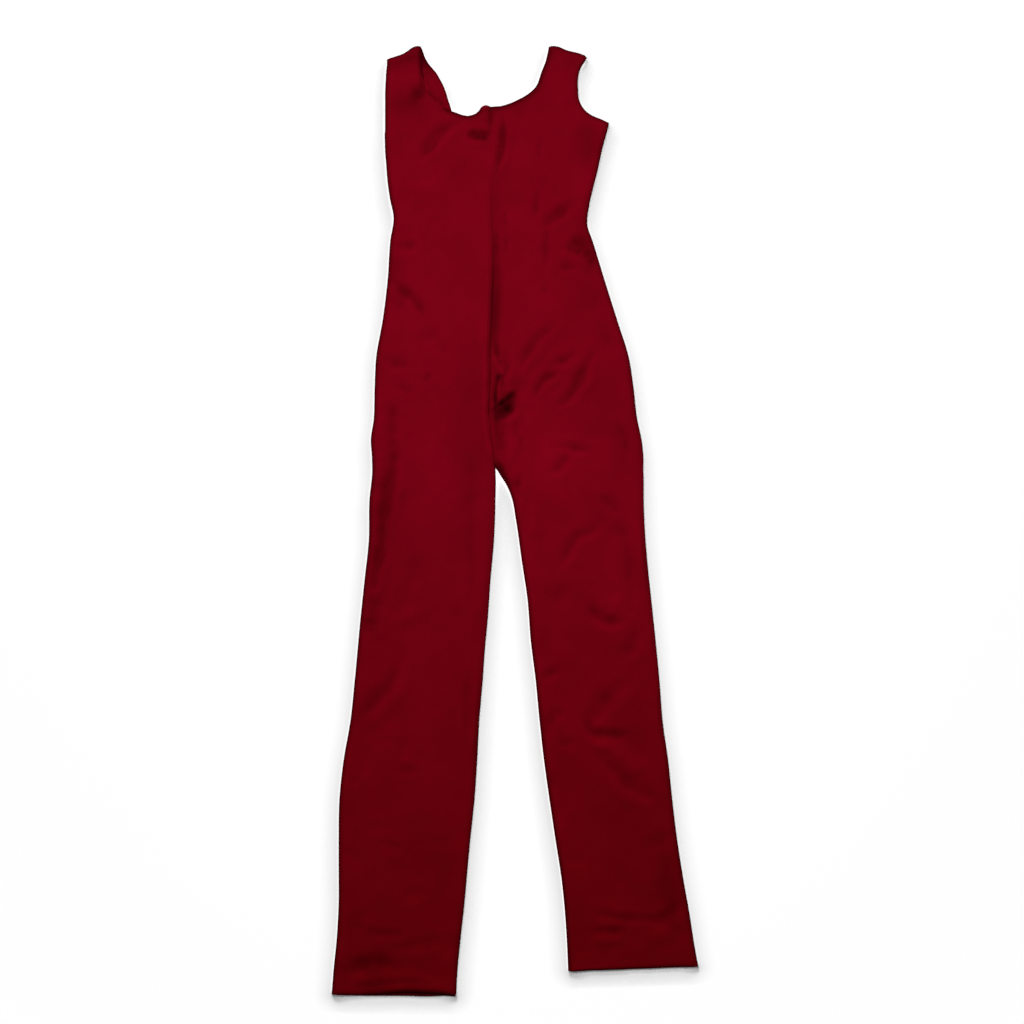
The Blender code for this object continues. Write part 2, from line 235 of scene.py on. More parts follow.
hipFolds = (
    (1.7, 6.0, -0.4, ((-180, 344), (-166, 332), (-150, 322), (-138, 308), (-130, 290))),
    (0.8, 7.0, -0.3, ((-131, 296), (-127, 278), (-119, 264), (-108, 250), (-96, 242))),
    (0.9, 7.0, 0.0, ((-186, 234), (-176, 228), (-164, 224), (-152, 222))),
    (0.5, 4.5, 0.0, ((-120, 212), (-125, 204), (-129, 196))),
    (0.5, 6.0, 0.0, ((-166, 194), (-156, 188), (-146, 180))),
    (1.0, 5.5, 0.3, ((60, 284), (46, 271), (34, 262), (24, 248), (12, 230), (5, 210))),
    (0.8, 5.0, 0.3, ((88, 242), (74, 232), (62, 226), (50, 219))),
    (1.1, 5.0, 0.3, ((68, 219), (54, 209), (42, 202), (32, 188), (25, 175))),
    (1.5, 6.0, 0.3, ((116, 244), (107, 232), (98, 214), (88, 194), (78, 178), (62, 164))),
    (0.5, 5.0, 0.0, ((120, 326), (118, 314), (121, 302))),
    (0.5, 6.0, 0.0, ((138, 272), (136, 256), (139, 240))),
    (0.5, 5.0, 0.0, ((46, 340), (44, 330), (45, 320))),
    (0.8, 5.0, 0.0, ((60, 108), (76, 105), (94, 102), (112, 101))),
    (0.9, 6.0, 0.0, ((82, 96), (70, 84), (58, 72), (46, 66))),
    (0.9, 6.0, 0.0, ((143, 142), (152, 126), (160, 104), (163, 80))),
)
thighFolds = (
    (0.9, 8.0, 0.2, ((-172, 168), (-176, 148), (-176, 128), (-174, 106))),
    (1.3, 7.0, 0.2, ((-174, 118), (-172, 96), (-174, 76), (-178, 58))),
    (2.5, 7.0, 0.3, ((-174, 70), (-179, 48), (-184, 22), (-189, 0), (-192, -24))),
    (2.4, 6.0, 0.3, ((-189, -8), (-192, -38), (-195, -58), (-199, -80), (-203, -104))),
    (-0.7, 9.0, 0.0, ((-194, 96), (-194, 70))),
    (-0.6, 7.0, 0.0, ((-165, 66), (-170, 34), (-176, 6))),
    (0.7, 8.0, 0.2, ((-196, -104), (-200, -120), (-204, -140))),
    (1.0, 8.0, 0.2, ((-204, -138), (-210, -152), (-214, -168))),
    (0.5, 7.0, 0.0, ((-134, -40), (-139, -62), (-146, -86), (-152, -106))),
    (-0.8, 9.0, 0.0, ((-132, -126), (-148, -134), (-166, -146))),
    (0.6, 8.0, 0.0, ((-62, 100), (-64, 40), (-65, -10), (-63, -60), (-64, -108), (-72, -140))),
    (-0.6, 7.0, 0.0, ((-44, 90), (-45, 30), (-46, -30), (-50, -90), (-55, -150))),
    (0.9, 5.0, 0.0, ((6, 66), (4, 46), (8, 28))),
    (-0.6, 6.0, 0.0, ((26, 26), (28, -10), (32, -44))),
    (1.0, 6.5, 0.3, ((122, -6), (104, -18), (90, -22), (81, -34), (72, -52), (66, -68))),
    (0.7, 12.0, 0.0, ((80, -96), (66, -106), (52, -116))),
    (0.8, 6.0, 0.0, ((118, 34), (132, 26), (144, 14), (152, -4))),
    (0.9, 8.0, 0.3, ((152, 0), (158, -34), (162, -70), (165, -104), (166, -134))),
    (-0.6, 6.0, 0.0, ((172, 30), (176, -20), (182, -70), (188, -120))),
    (1.1, 6.0, 0.3, ((106, -112), (112, -128), (122, -140), (138, -145), (158, -144))),
    (-0.7, 9.0, 0.0, ((122, -104), (136, -120), (152, -126))),
    (0.9, 8.0, 0.0, ((178, -148), (172, -168), (164, -186), (158, -200))),
)
kneeFolds = (
    (1.6, 7.0, 0.4, ((-158, -178), (-168, -212), (-180, -236), (-198, -258), (-218, -276), (-226, -284))),
    (-0.7, 10.0, 0.0, ((-196, -200), (-204, -226), (-214, -244))),
    (0.8, 5.0, 0.0, ((-68, -226), (-69, -262), (-68, -296), (-72, -330))),
    (-0.7, 4.5, 0.0, ((-58, -226), (-59, -280), (-61, -340), (-66, -400))),
    (0.6, 6.0, 0.0, ((-160, -312), (-161, -326), (-159, -340))),
    (0.7, 5.0, 0.0, ((-138, -357), (-152, -357), (-166, -356))),
    (0.6, 6.0, 0.0, ((-232, -362), (-228, -374), (-222, -382))),
    (-0.5, 10.0, 0.0, ((-178, -290), (-176, -316))),
    (0.8, 5.0, 0.0, ((66, -213), (50, -219), (40, -230))),
    (0.9, 6.0, 0.0, ((72, -278), (58, -274), (50, -290), (48, -308))),
    (0.5, 5.0, 0.0, ((90, -316), (74, -318), (60, -314))),
    (1.3, 8.0, 0.5, ((160, -232), (142, -244), (130, -258), (118, -274), (106, -290))),
    (1.5, 5.6, 0.3, ((102, -284), (107, -299), (121, -306), (140, -307), (162, -306))),
    (-1.5, 8.5, 0.0, ((112, -314), (128, -320), (148, -333), (168, -348), (184, -360))),
    (1.5, 7.0, -0.3, ((130, -340), (146, -360), (164, -378), (184, -390), (204, -396))),
    (0.5, 7.0, 0.0, ((68, -398), (64, -414), (68, -430))),
    (-0.6, 5.0, 0.0, ((196, -240), (202, -280), (210, -330), (218, -380))),
)
ankleFolds = (
    (0.6, 6.0, 0.0, ((-184, -436), (-198, -438), (-212, -434))),
    (0.9, 5.5, 0.0, ((-160, -466), (-176, -465), (-192, -460))),
    (0.7, 8.0, 0.0, ((-72, -444), (-96, -456), (-122, -466))),
    (0.8, 6.0, 0.0, ((-244, -468), (-232, -480), (-222, -490))),
    (0.9, 6.5, 0.0, ((-124, -529), (-142, -533), (-160, -540))),
    (1.0, 7.0, 0.3, ((-214, -552), (-222, -570), (-231, -590))),
    (1.2, 5.0, 0.0, ((-158, -591), (-180, -591), (-200, -590), (-216, -584))),
    (0.9, 6.0, 0.0, ((-98, -596), (-112, -600), (-140, -606), (-168, -612))),
    (2.6, 7.5, 0.3, ((-172, -640), (-186, -632), (-206, -630), (-224, -638), (-238, -654))),
    (-1.3, 6.5, 0.0, ((-238, -652), (-212, -656), (-180, -652), (-150, -650), (-118, -658))),
    (-0.8, 7.0, 0.0, ((-92, -608), (-92, -632), (-90, -652))),
    (-0.8, 6.0, 0.0, ((-247, -604), (-249, -626), (-251, -644))),
    (1.0, 8.0, 0.0, ((228, -446), (210, -456), (194, -464), (182, -470))),
    (0.5, 6.0, 0.0, ((66, -484), (84, -484), (104, -484))),
    (0.8, 8.0, 0.2, ((148, -498), (154, -514), (164, -528), (178, -540))),
    (1.4, 5.0, 0.3, ((112, -558), (126, -562), (142, -567), (170, -569), (196, -569))),
    (1.6, 6.5, 0.3, ((190, -570), (214, -568), (228, -558), (236, -542))),
    (1.1, 4.6, 0.0, ((108, -586), (128, -587), (146, -586), (162, -580))),
    (-0.9, 6.0, 0.0, ((112, -602), (134, -598), (156, -598))),
    (-0.8, 7.0, 0.0, ((190, -590), (210, -592), (230, -588))),
    (0.5, 4.0, 0.0, ((84, -612), (98, -614), (112, -610))),
    (-0.8, 8.0, 0.0, ((64, -432), (72, -452), (80, -468))),
)
crotchFolds = (
    (2.6, 8.5, 0.0, ((-28, 144), (-20, 156), (-10, 168), (0, 184))),
    (1.6, 6.0, 0.0, ((-22, 150), (-8, 158), (2, 168))),
    (-1.4, 2.0, 0.0, ((-28, 157), (-22, 161), (-16, 166), (-10, 172))),
    (2.2, 2.6, 0.0, ((-24, 206), (-28, 192), (-29, 172), (-28, 148))),
    (-1.5, 1.7, 0.0, ((-33.5, 204), (-33.5, 180), (-33, 152))),
    (1.2, 3.0, 0.0, ((-27, 198), (-24, 205), (-16, 203))),
    (-1.9, 5.5, 0.0, ((-31, 238), (-25, 222), (-20, 208))),
    (-0.9, 2.6, 0.0, ((-16, 222), (-17, 212), (-18, 204))),
    (0.9, 3.0, 0.0, ((-27, 146), (-27.5, 130), (-26, 112))),
    (-0.8, 5.0, 0.0, ((-10, 142), (-6, 120), (-2, 98), (-8, 82))),
    (0.5, 3.0, 0.0, ((8, 122), (10, 106), (16, 88))),
    (1.2, 3.4, 0.0, ((-30, 262), (-27, 246), (-22, 232))),
)
# how strongly each group shows, and how wide
foldGroups = (
    (crotchFolds, 2.0, 1.08), (chestFolds, 2.0, 1.08), (waistFolds, 2.2, 1.08), (hipFolds, 2.4, 1.08),
    (thighFolds, 2.5, 1.08), (kneeFolds, 1.9, 1.2), (ankleFolds, 1.25, 1.2),
)

# painted shade where less light reaches the cloth (or, negative, painted light where more does), set into
# its colour: share, width, points
lightBands = (
    # folds and turned cloth at the crotch
    (0.60, 2.1, ((-22, 208), (-25, 200), (-28.2, 186), (-28, 165), (-27, 138))),
    (-0.16, 2.6, ((-32.5, 208), (-32, 182), (-31, 156))),
    (0.32, 2.8, ((-28.5, 254), (-27, 244), (-23.5, 231), (-20, 221))),
    (0.26, 3.6, ((-28, 210), (-21, 203), (-13, 199))),
    (0.80, 4.2, ((-38, 156), (-26, 163), (-14, 173), (-4, 182), (5, 190))),
    (0.78, 6.4, ((-30, 151), (-20, 155), (-13, 160), (-8, 166), (-3, 176))),
    (0.30, 5.0, ((-14, 178), (-9, 173), (-7, 164), (-10, 155))),
    (0.36, 5.0, ((-35, 145), (-24, 146), (-10, 150))),
    (0.16, 3.4, ((-26.5, 146), (-26, 130), (-26, 112), (-27, 98))),
    (-0.11, 4.5, ((-42, 345), (-45, 285), (-45, 235), (-43, 190), (-42, 150), (-41, 120), (-38, 100))),
    (-0.20, 4.5, ((-37, 120), (-35.5, 104), (-34, 92))),
    (0.13, 5.5, ((-21, 112), (-18.5, 100), (-18, 88))),
    (0.13, 4.0, ((-25, 184), (-18, 181), (-12, 180))),
    (0.09, 7.0, ((-9, 202), (3, 198))),
    (-0.09, 7.0, ((-14, 233), (-4, 231), (5, 227))),
    (0.20, 5.0, ((-20, 150), (-20, 124), (-22, 100))),
    (0.26, 4.6, ((-22, 207), (-19, 196), (-19, 180))),
    (0.14, 6.0, ((-1, 178), (4, 168), (4, 154))),
    (0.24, 4.2, ((-26, 418), (-27, 400), (-26.5, 378))),
    (0.22, 4.6, ((-26, 334), (-28, 302), (-29, 280), (-32, 258))),
    (0.12, 3.0, ((-14, 446), (-13, 420), (-12.5, 392), (-13, 372))),
    (0.10, 6.0, ((-29, 474), (-28, 452), (-27, 432))),
    (0.60, 4.2, ((-29, 94), (-20, 75), (-12, 59), (-5, 44))),
    (0.14, 9.0, ((-2, 214), (4, 200), (8, 184))),
    (-0.10, 6.0, ((-10, 138), (-6, 112), (-3, 86))),
    # chest
    (0.43, 4.3, ((-61, 552.5), (-54, 549), (-46, 547), (-35, 547))),
    (0.17, 3.3, ((-16, 574), (-16.5, 550), (-19.5, 530), (-23, 514), (-27, 498))),
    (0.08, 6.0, ((-23, 512), (-29, 488), (-31, 466))),
    (0.10, 16.0, ((70, 664), (86, 630), (92, 604))),
    (0.34, 8.0, ((-120, 626), (-134, 615), (-148, 600))),
    (0.22, 17.0, ((-120, 606), (-150, 596), (-184, 592))),
    (0.22, 6.0, ((-35.5, 598), (-35.5, 580), (-36, 560))),
    (-0.12, 26.0, ((-178, 536), (-158, 520), (-130, 508), (-100, 492), (-76, 480))),
    (0.18, 12.0, ((96, 580), (106, 540), (98, 500))),
    (-0.05, 18.0, ((-176, 535), (-178, 468))),
    (-0.05, 12.0, ((-97, 600), (-100, 580))),
    # waist and hips
    (-0.06, 12.0, ((97, 447), (102, 434))),
    (-0.05, 14.0, ((124, 122), (126, 98))),
    (0.16, 12.0, ((-178, 402), (-174, 366), (-168, 326))),
    (0.28, 11.0, ((98, 406), (104, 386), (114, 356))),
    (0.10, 12.0, ((-134, 278), (-122, 254))),
    (0.14, 10.0, ((-177, 424), (-172, 400))),
    (0.11, 10.0, ((-178, 328), (-150, 317))),
    (0.19, 13.0, ((140, 334), (166, 282), (176, 240), (190, 176))),
    (0.10, 13.0, ((106, 470), (100, 420), (110, 340), (130, 262))),
    (0.13, 24.0, ((-66, 232), (-64, 150), (-64, 90), (-68, 10))),
    (-0.11, 22.0, ((-130, 184), (-122, 146), (-114, 100))),
    (-0.12, 34.0, ((4, 146), (44, 98), (80, 36), (92, 0))),
    # legs
    (0.15, 13.0, ((-176, 126), (-182, 62), (-190, 2), (-200, -60), (-206, -146))),
    (0.15, 9.0, ((-198, 70), (-200, 38))),
    (0.20, 10.0, ((-200, -108), (-204, -140), (-210, -170))),
    (-0.07, 18.0, ((134, -50), (144, -100), (148, -140))),
    (-0.07, 12.0, ((20, 34), (28, -20))),
    (0.08, 16.0, ((-98, -446), (-100, -500), (-102, -560))),
    (0.09, 15.0, ((-74, -574), (-86, -614))),
    (0.20, 11.0, ((204, -440), (212, -480), (222, -540), (232, -594))),
    (0.14, 9.0, ((126, -586), (148, -584), (168, -574))),
    (0.14, 9.0, ((-206, -268), (-230, -290))),
    (0.08, 15.0, ((104, -258), (146, -262), (196, -280))),
    (0.13, 15.0, ((112, -294), (160, -296), (226, -302))),
    (0.12, 10.0, ((194, -388), (216, -412))),
    (0.07, 14.0, ((-72, 62), (-66, 8))),
    (-0.14, 10.0, ((-198, 8), (-200, -54))),
    (0.06, 11.0, ((-204, -92), (-202, -135))),
    (-0.09, 11.0, ((-200, -222), (-176, -232), (-152, -246))),
    (0.05, 15.0, ((-225, -585), (-170, -590), (-110, -588))),
    (0.10, 12.0, ((-130, -612), (-118, -606))),
    (0.13, 14.0, ((125, 288), (127, 264), (150, 250))),
    (0.06, 12.0, ((96, 318), (104, 296))),
    (0.12, 12.0, ((150, 2), (152, -22))),
    (-0.07, 14.0, ((50, 6), (52, -20))),
    (-0.09, 12.0, ((50, -150), (60, -175), (100, -192), (122, -200))),
    (0.07, 11.0, ((150, -244), (176, -264), (200, -290))),
    (0.05, 15.0, ((108, -302), (150, -312), (200, -312))),
    (0.08, 14.0, ((125, -588), (165, -580), (204, -574))),
    (0.11, 12.0, ((222, -560), (232, -592))),
    (0.05, 12.0, ((-226, -570), (-228, -594))),
    (-0.07, 17.0, ((122, -334), (172, -346))),
    (0.10, 9.0, ((52, -352), (50, -380))),
    (0.17, 6.0, ((105, -281), (107, -303))),
    (0.24, 12.0, ((-226, -642), (-204, -636), (-180, -638))),
)

# the hidden side: softer, because it was pressed on the table
backFolds = (
    (1.0, 8.0, 0.0, ((-140, 520), (-112, 540), (-80, 556))),
    (0.8, 9.0, 0.0, ((-60, 470), (-90, 452), (-126, 446), (-158, 450))),
    (0.9, 8.0, 0.0, ((98, 440), (66, 430), (30, 434), (-4, 446))),
    (1.1, 9.0, 0.0, ((-166, 400), (-130, 392), (-92, 398), (-58, 392))),
    (0.9, 8.0, 0.0, ((110, 380), (78, 372), (44, 378), (8, 368))),
    (1.0, 8.0, 0.0, ((-168, 330), (-128, 300), (-86, 262), (-56, 214))),
    (1.0, 8.0, 0.0, ((124, 320), (84, 290), (40, 250), (-6, 206))),
    (1.2, 7.0, 0.0, ((-150, 210), (-106, 176), (-66, 150))),
    (1.1, 7.0, 0.0, ((130, 210), (84, 170), (34, 142), (-8, 128))),
    (0.8, 9.0, 0.0, ((-176, 96), (-180, 30), (-190, -50), (-200, -120))),
    (0.8, 9.0, 0.0, ((150, 80), (154, 10), (160, -70), (170, -140))),
    (0.9, 7.0, 0.0, ((-80, -30), (-122, -58), (-168, -66))),
    (0.9, 7.0, 0.0, ((40, -40), (86, -66), (134, -70))),
    (1.2, 7.0, 0.0, ((-70, -250), (-110, -262), (-160, -258), (-206, -270))),
    (1.0, 6.0, 0.0, ((-72, -292), (-120, -300), (-170, -292))),
    (1.2, 7.0, 0.0, ((56, -236), (98, -252), (146, -248), (190, -262))),
    (1.0, 6.0, 0.0, ((64, -282), (110, -292), (160, -286))),
    (0.8, 8.0, 0.0, ((-96, -400), (-140, -420), (-200, -416))),
    (0.8, 8.0, 0.0, ((90, -400), (140, -416), (196, -412))),
    (1.0, 7.0, 0.0, ((-100, -560), (-150, -574), (-214, -566))),
    (1.0, 7.0, 0.0, ((94, -540), (146, -556), (214, -546))),
    (0.8, 6.0, 0.0, ((-120, -618), (-170, -624), (-226, -616))),
)

# one entry a panel: which side and which face, where its edges start and what they are (y in metres)
panels = {
    "front_right": {
        "side": -1, "up": 1, "armholeFrom": 0.553, "neckFrom": 0.5935, "neckAt": 0.5770,
        "liftFrom": 0.545, "foldFrom": 0.085,
        # rows are matched between the outer and the inner edge at these heights; 1 is finer
        "marks": ((0.135, 0.135, 0), (0.240, 0.240, 1), (0.553, 0.579, 0)),
        "neckLift": (
            (-0.0700, 0.0), (-0.0600, 0.0010), (-0.0550, 0.0045), (-0.0515, 0.0085),
            (-0.0480, 0.0138), (-0.0435, 0.0165), (-0.0355, 0.0150),
        ),
        "neckline": (
            (-35.5, 567), (-35.5, 592.6), (-39, 593.8), (-43.5, 594.3), (-47.5, 592.4), (-51, 587.4),
            (-54.5, 583.2), (-60, 580.2), (-67, 579.0), (-76, 580.6), (-85, 583.8), (-92.5, 586.4),
            (-101, 590.8), (-111.5, 598), (-125.5, 613), (-131.5, 639),
        ),
        "innerEdge": ((-0.70, "sewn"), (0.466, "sewn"), (0.490, "butt"), (0.590, "butt")),
    },
    "front_left": {
        "side": 1, "up": 1, "armholeFrom": 0.5685, "neckFrom": 0.5935, "neckAt": 0.5842,
        "liftFrom": 0.545, "foldFrom": 0.085,
        "marks": ((0.135, 0.124, 0), (0.240, 0.236, 1), (0.551, 0.545, 0)),
        "neckLift": ((-0.0352, 0.009), (-0.0225, 0.0035), (-0.0085, 0.0)),
        "neckline": (
            (-35.5, 592.6), (-28, 592.4), (-20, 592.9), (-13, 594.8), (-6.4, 597.0), (-0.6, 599.6),
            (5.1, 602.5), (10.8, 605.4),
        ),
        "innerEdge": (
            (-0.70, "sewn"), (0.081, "sewn"), (0.109, "tuck"), (0.452, "tuck"),
            (0.506, "butt"), (0.590, "butt"),
        ),
    },
    "back_right": {
        "side": -1, "up": -1, "armholeFrom": 0.553, "neckAt": 0.533,
        "marks": ((0.240, 0.240, 0), (0.553, 0.533, 0)),
        "neckline": (
            (-91.0, 589), (-95.4, 603), (-99.2, 616), (-103.0, 625), (-107.0, 632.5), (-112.0, 641),
            (-118.5, 648.6), (-123.5, 655), (-128.0, 663.0),
        ),
        "innerEdge": ((-0.70, "sewn"), (0.073, "sewn"), (0.093, "butt"), (0.530, "butt")),
    },
    "back_left": {
        "side": 1, "up": -1, "armholeFrom": 0.5685, "neckAt": 0.531,
        "marks": ((0.240, 0.236, 0), (0.551, 0.531, 0)),
        "innerEdge": ((-0.70, "sewn"), (0.081, "sewn"), (0.095, "butt"), (0.530, "butt")),
    },
}

# shoulder edges from the armhole to the neck, and how the ankle edges dip: amount, middle, spread
shoulderLines = {
    -1: ((-182.8, 659.9), (-180, 661.4), (-172, 664.0), (-163, 667.0), (-157, 669.9), (-152, 673.4),
         (-147.5, 676.6), (-142, 678.9), (-137, 679.2), (-134.5, 678.3)),
    1: ((102.5, 662), (100.5, 665.2), (95, 667.8), (86, 670.4), (78, 672.2), (71.5, 674.4), (66, 676.8),
        (60, 678.8), (54.5, 679.3), (50, 678.7), (48.4, 677.9)),
}
ankleDips = {
    -1: ((3.2, 0.0, 0.13), (-1.2, 0.77, 0.15), (-1.8, 1.0, 0.06)),
    1: ((1.2, 0.95, 0.36),),
}
# how far the folded centre edge stands back, in mm, against y in metres
foldBack = (
    (0.125, 0.0), (0.14, 0.6), (0.15, 2.1), (0.16, 2.3), (0.18, 2.4), (0.20, 2.5), (0.215, 2.7),
    (0.23, 3.2), (0.25, 4.1), (0.28, 3.3), (0.32, 3.1), (0.36, 1.2), (0.40, 0.8), (0.44, 0.8),
    (0.49, 0.0),
)


def outlineOf(nodeName, up):
    # the edge of a panel's outer face, point by point, from a merged copy of its CAD node
    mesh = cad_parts[nodeName].data.copy()
    copy = putObject("outline", mesh)
    selectOnly(copy)
    bpy.ops.object.mode_set(mode="EDIT")
    bpy.ops.mesh.select_all(action="SELECT")
    bpy.ops.mesh.remove_doubles(threshold=1e-6)
    bpy.ops.mesh.select_all(action="DESELECT")
    bpy.ops.object.mode_set(mode="OBJECT")
    start = max(mesh.polygons, key=lambda face: face.center.z * up + face.area)
    start.select = True
    mesh.polygons.active = start.index
    bpy.ops.object.mode_set(mode="EDIT")
    bpy.ops.mesh.select_mode(type="FACE")
    bpy.ops.mesh.faces_select_linked_flat(sharpness=radians(55))
    bpy.ops.mesh.select_all(action="INVERT")
    bpy.ops.mesh.delete(type="FACE")
    bpy.ops.object.mode_set(mode="OBJECT")
    skin = bmesh.new()
    skin.from_mesh(mesh)
    rings, used = [], set()
    for edge in skin.edges:
        if not edge.is_boundary or edge in used:
            continue
        ring, here = [edge.verts[0]], edge.verts[1]
        used.add(edge)
        while here is not ring[0]:
            ring.append(here)
            ahead = [e for e in here.link_edges if e.is_boundary and e not in used]
            if not ahead:
                break
            used.add(ahead[0])
            here = ahead[0].other_vert(here)
        rings.append(np.array([vert.co[:2] for vert in ring]))
    skin.free()
    bpy.data.objects.remove(copy, do_unlink=True)
    bpy.data.meshes.remove(mesh)
    ring = max(rings, key=len)
    apart = np.linalg.norm(ring - np.roll(ring, 1, axis=0), axis=1)
    return ring[apart > 1e-5]


def edgesOf(ring, side):
    # cuts the outline at its corners into the outer, inner and ankle edges
    def farthest(dx, dy):
        return int(np.argmax(ring[:, 0] * dx * side + ring[:, 1] * dy))

    ring = np.roll(ring, -farthest(1, -1), axis=0)
    if farthest(1, 1) > farthest(-0.3, -1):
        ring = np.roll(ring[::-1], 1, axis=0)
    top, turn, foot = farthest(1, 1), farthest(-0.3, 1), farthest(-0.3, -1)
    return ring[: top + 1], ring[turn : foot + 1][::-1], np.vstack((ring[foot:], ring[:1]))[::-1]


def edgeLift(points, panel):
    # how far each inner point stands above the plain neckline, where the cloth was pulled up
    if "neckLift" not in panel:
        return np.zeros(len(points))
    xs, lifts = zip(*panel["neckLift"])
    reach = (points[:, 1] - panel["liftFrom"]) / (panel["neckFrom"] - panel["liftFrom"])
    return np.interp(points[:, 0], xs, lifts) * np.clip(reach, 0, 1) ** 1.6


def edgeKindsAt(panel, low, innerAt):
    # for each row, how much its inner edge is sewn or folded, tucked, butted, or a hemmed neckline
    stops = [(lengthAt(low, max(y, low[0, 1] + 1e-4)), kind) for y, kind in panel["innerEdge"][1:]]
    stops = [(-1.0, panel["innerEdge"][0][1])] + stops
    neck = lengthAt(low, panel["neckAt"])
    stops += [(max(neck + 0.002, stops[-1][0] + 1e-4), "hem"), (9.0, "hem")]
    at = [stop for stop, kind in stops]
    kinds = {}
    for kind in ("sewn", "tuck", "butt", "hem"):
        level = [1.0 if k == kind else 0.0 for stop, k in stops]
        kinds[kind] = smoothStep(np.interp(innerAt, at, level))[:, None]
    return kinds


def planOf(nodeName, panel):
    # a panel's grid seen from above, from its outline: rows run from the outer to the inner edge
    side, up = panel["side"], panel["up"]
    outer, inner, ankle = edgesOf(outlineOf(nodeName, up), side)
    if "neckline" in panel:
        finer = np.array(panel["neckline"]) * mm
        first = int(np.argmax(inner[:, 1] >= finer[0, 1] - mm))
        last = len(inner) - int(np.argmax(inner[::-1, 1] <= finer[-1, 1] + mm))
        inner = np.vstack((inner[:first], finer, inner[last:]))
    shoulder = np.array(shoulderLines[side]) * mm
    lift = edgeLift(inner, panel)
    low = inner - np.stack((np.zeros(len(lift)), lift), 1)
    outerLength, innerLength = lengthsAlong(outer)[-1], lengthsAlong(low)[-1]
    cuts = [(lengthAt(outer, left), lengthAt(low, right), fine) for left, right, fine in panel["marks"]]
    cuts = [(0.0, 0.0, 0), *cuts, (outerLength, innerLength, 0)]
    a, b = [0.0], [0.0]
    for before, after in zip(cuts, cuts[1:]):
        gap = jersey["fineRowGap" if after[2] else "rowGap"][up]
        count = int(np.ceil(max(after[0] - before[0], after[1] - before[1]) / gap))
        a += list(np.linspace(before[0], after[0], count + 1)[1:])
        b += list(np.linspace(before[1], after[1], count + 1)[1:])
    a, b = np.array(a), np.array(b)
    outside, inside = smoothPath(outer, a), smoothPath(low, b)
    width = np.linalg.norm(inside - outside, axis=1)[:, None]

    edge = np.array(jersey["edgeColumns"]) * mm
    count = jersey["columns"][up]
    t = np.linspace(0, 1, count + 2)[1:-1]
    if up > 0:
        t = 1 - (1 - t) * (0.62 + 0.38 * (1 - t))  # closer together near the centre fold
        t = (t - t[0]) / (t[-1] - t[0]) * (1 - 2 / (count + 1)) + 1 / (count + 1)
    middle = edge[-1] + (width - 2 * edge[-1]) * t[None, :]
    ones = np.ones(width.shape)
    toOuter = np.hstack((ones * edge, middle, width - ones * edge[::-1]))
    toInner = width - toOuter
    u = toOuter / width
    plan = outside[:, None, :] + (inside - outside)[:, None, :] * u[:, :, None]
    # the two short edges bow a little
    upward = a / outerLength
    for points, row, weight in ((ankle, 0, (1 - upward) ** 30), (shoulder, -1, upward**30)):
        bowed = smoothPath(points, u[row] * lengthsAlong(points)[-1])
        plan += (bowed - plan[row])[None, :, :] * weight[:, None, None]
    x, y = plan[:, :, 0], plan[:, :, 1]  # what is added to these moves the plan
    for amount, where, spread in ankleDips[side]:
        y += amount * mm * bell(u - where, spread) * ((1 - upward) ** 60)[:, None]
    if side > 0:  # the crotch gap's corner
        x -= 4.2 * mm * (bell(y - 0.089, 0.011) * nearEdge(toInner, 14 * mm))
    elif up > 0:
        x -= np.interp(y, *zip(*foldBack)) * nearEdge(toInner, 16 * mm) * mm
    kinds = edgeKindsAt(panel, low, b)
    armhole = lengthAt(outer, panel["armholeFrom"])
    belly = jersey["spread"] * side
    x += belly * (1 - smoothStep((a - armhole + 0.006) / 0.012))[:, None] * nearEdge(toOuter, 6 * mm)
    x -= belly * kinds["sewn"] * nearEdge(toInner, 6 * mm)
    x -= side * 0.17 * mm * kinds["butt"] * nearEdge(toInner, 1.5 * mm)
    y += np.interp(b, lengthsAlong(low), lift)[:, None] * nearEdge(toInner, 12 * mm) ** 2
    neckRow = int(np.searchsorted(b, lengthAt(low, panel["neckAt"])))
    armRow = int(np.searchsorted(a, armhole))
    neck, arm = plan[neckRow:, -1, :], plan[armRow:, 0, :]
    panel.update(
        plan=plan, x=x, y=y, u=u, toOuter=toOuter, toInner=toInner, kinds=kinds, neck=neck, arm=arm,
        sewnOuter=1 - smoothStep((a - a[armRow] + 0.006) / 0.012)[:, None],
        toNeck=distanceTo(neck[::3], x, y)[0], toArm=distanceTo(arm[::3], x, y)[0],
        fromAnkle=np.broadcast_to((a + b)[:, None] / 2, u.shape),
        fromShoulder=np.broadcast_to(((outerLength - a) + (innerLength - b))[:, None] / 2, u.shape),
    )


for nodeName, panel in panels.items():
    planOf(nodeName, panel)
    print("plan of", nodeName, panel["plan"].shape[:2])

# turned edges and their rows of stitches
hems = {
    "ankleDepth": 20 * mm,
    "ankleRows": (18.6 * mm, 15.2 * mm),
    "neckWidth": 8 * mm,
    "armholeWidth": 6.5 * mm,
    "stitchIn": 1.2 * mm,  # a row of stitches runs this far inside the turned edge
    "groove": 0.34 * mm,
    "grooveWidth": 1.1 * mm,
    "doubled": 0.3 * mm,  # how much thicker two layers look from outside
    "roll": 0.8 * mm,
    "clear": 0.12 * mm,  # between a hem and the cloth it lies against
    "ankleInset": 1.2 * mm,  # the ankle hem follows the cloth from here up
    "ankleFloor": 3.0 * mm,  # lowest that its front half lies
    "ankleApart": 0.95 * mm,  # least gap between its halves
    "pointGap": 2.4 * mm,  # between a neck or armhole ring's points
    "usual": 5.1 * mm,  # height of the front where no cloth is found under a hem
}
hems["neckRow"] = hems["neckWidth"] - hems["stitchIn"]
hems["armholeRow"] = hems["armholeWidth"] - hems["stitchIn"]


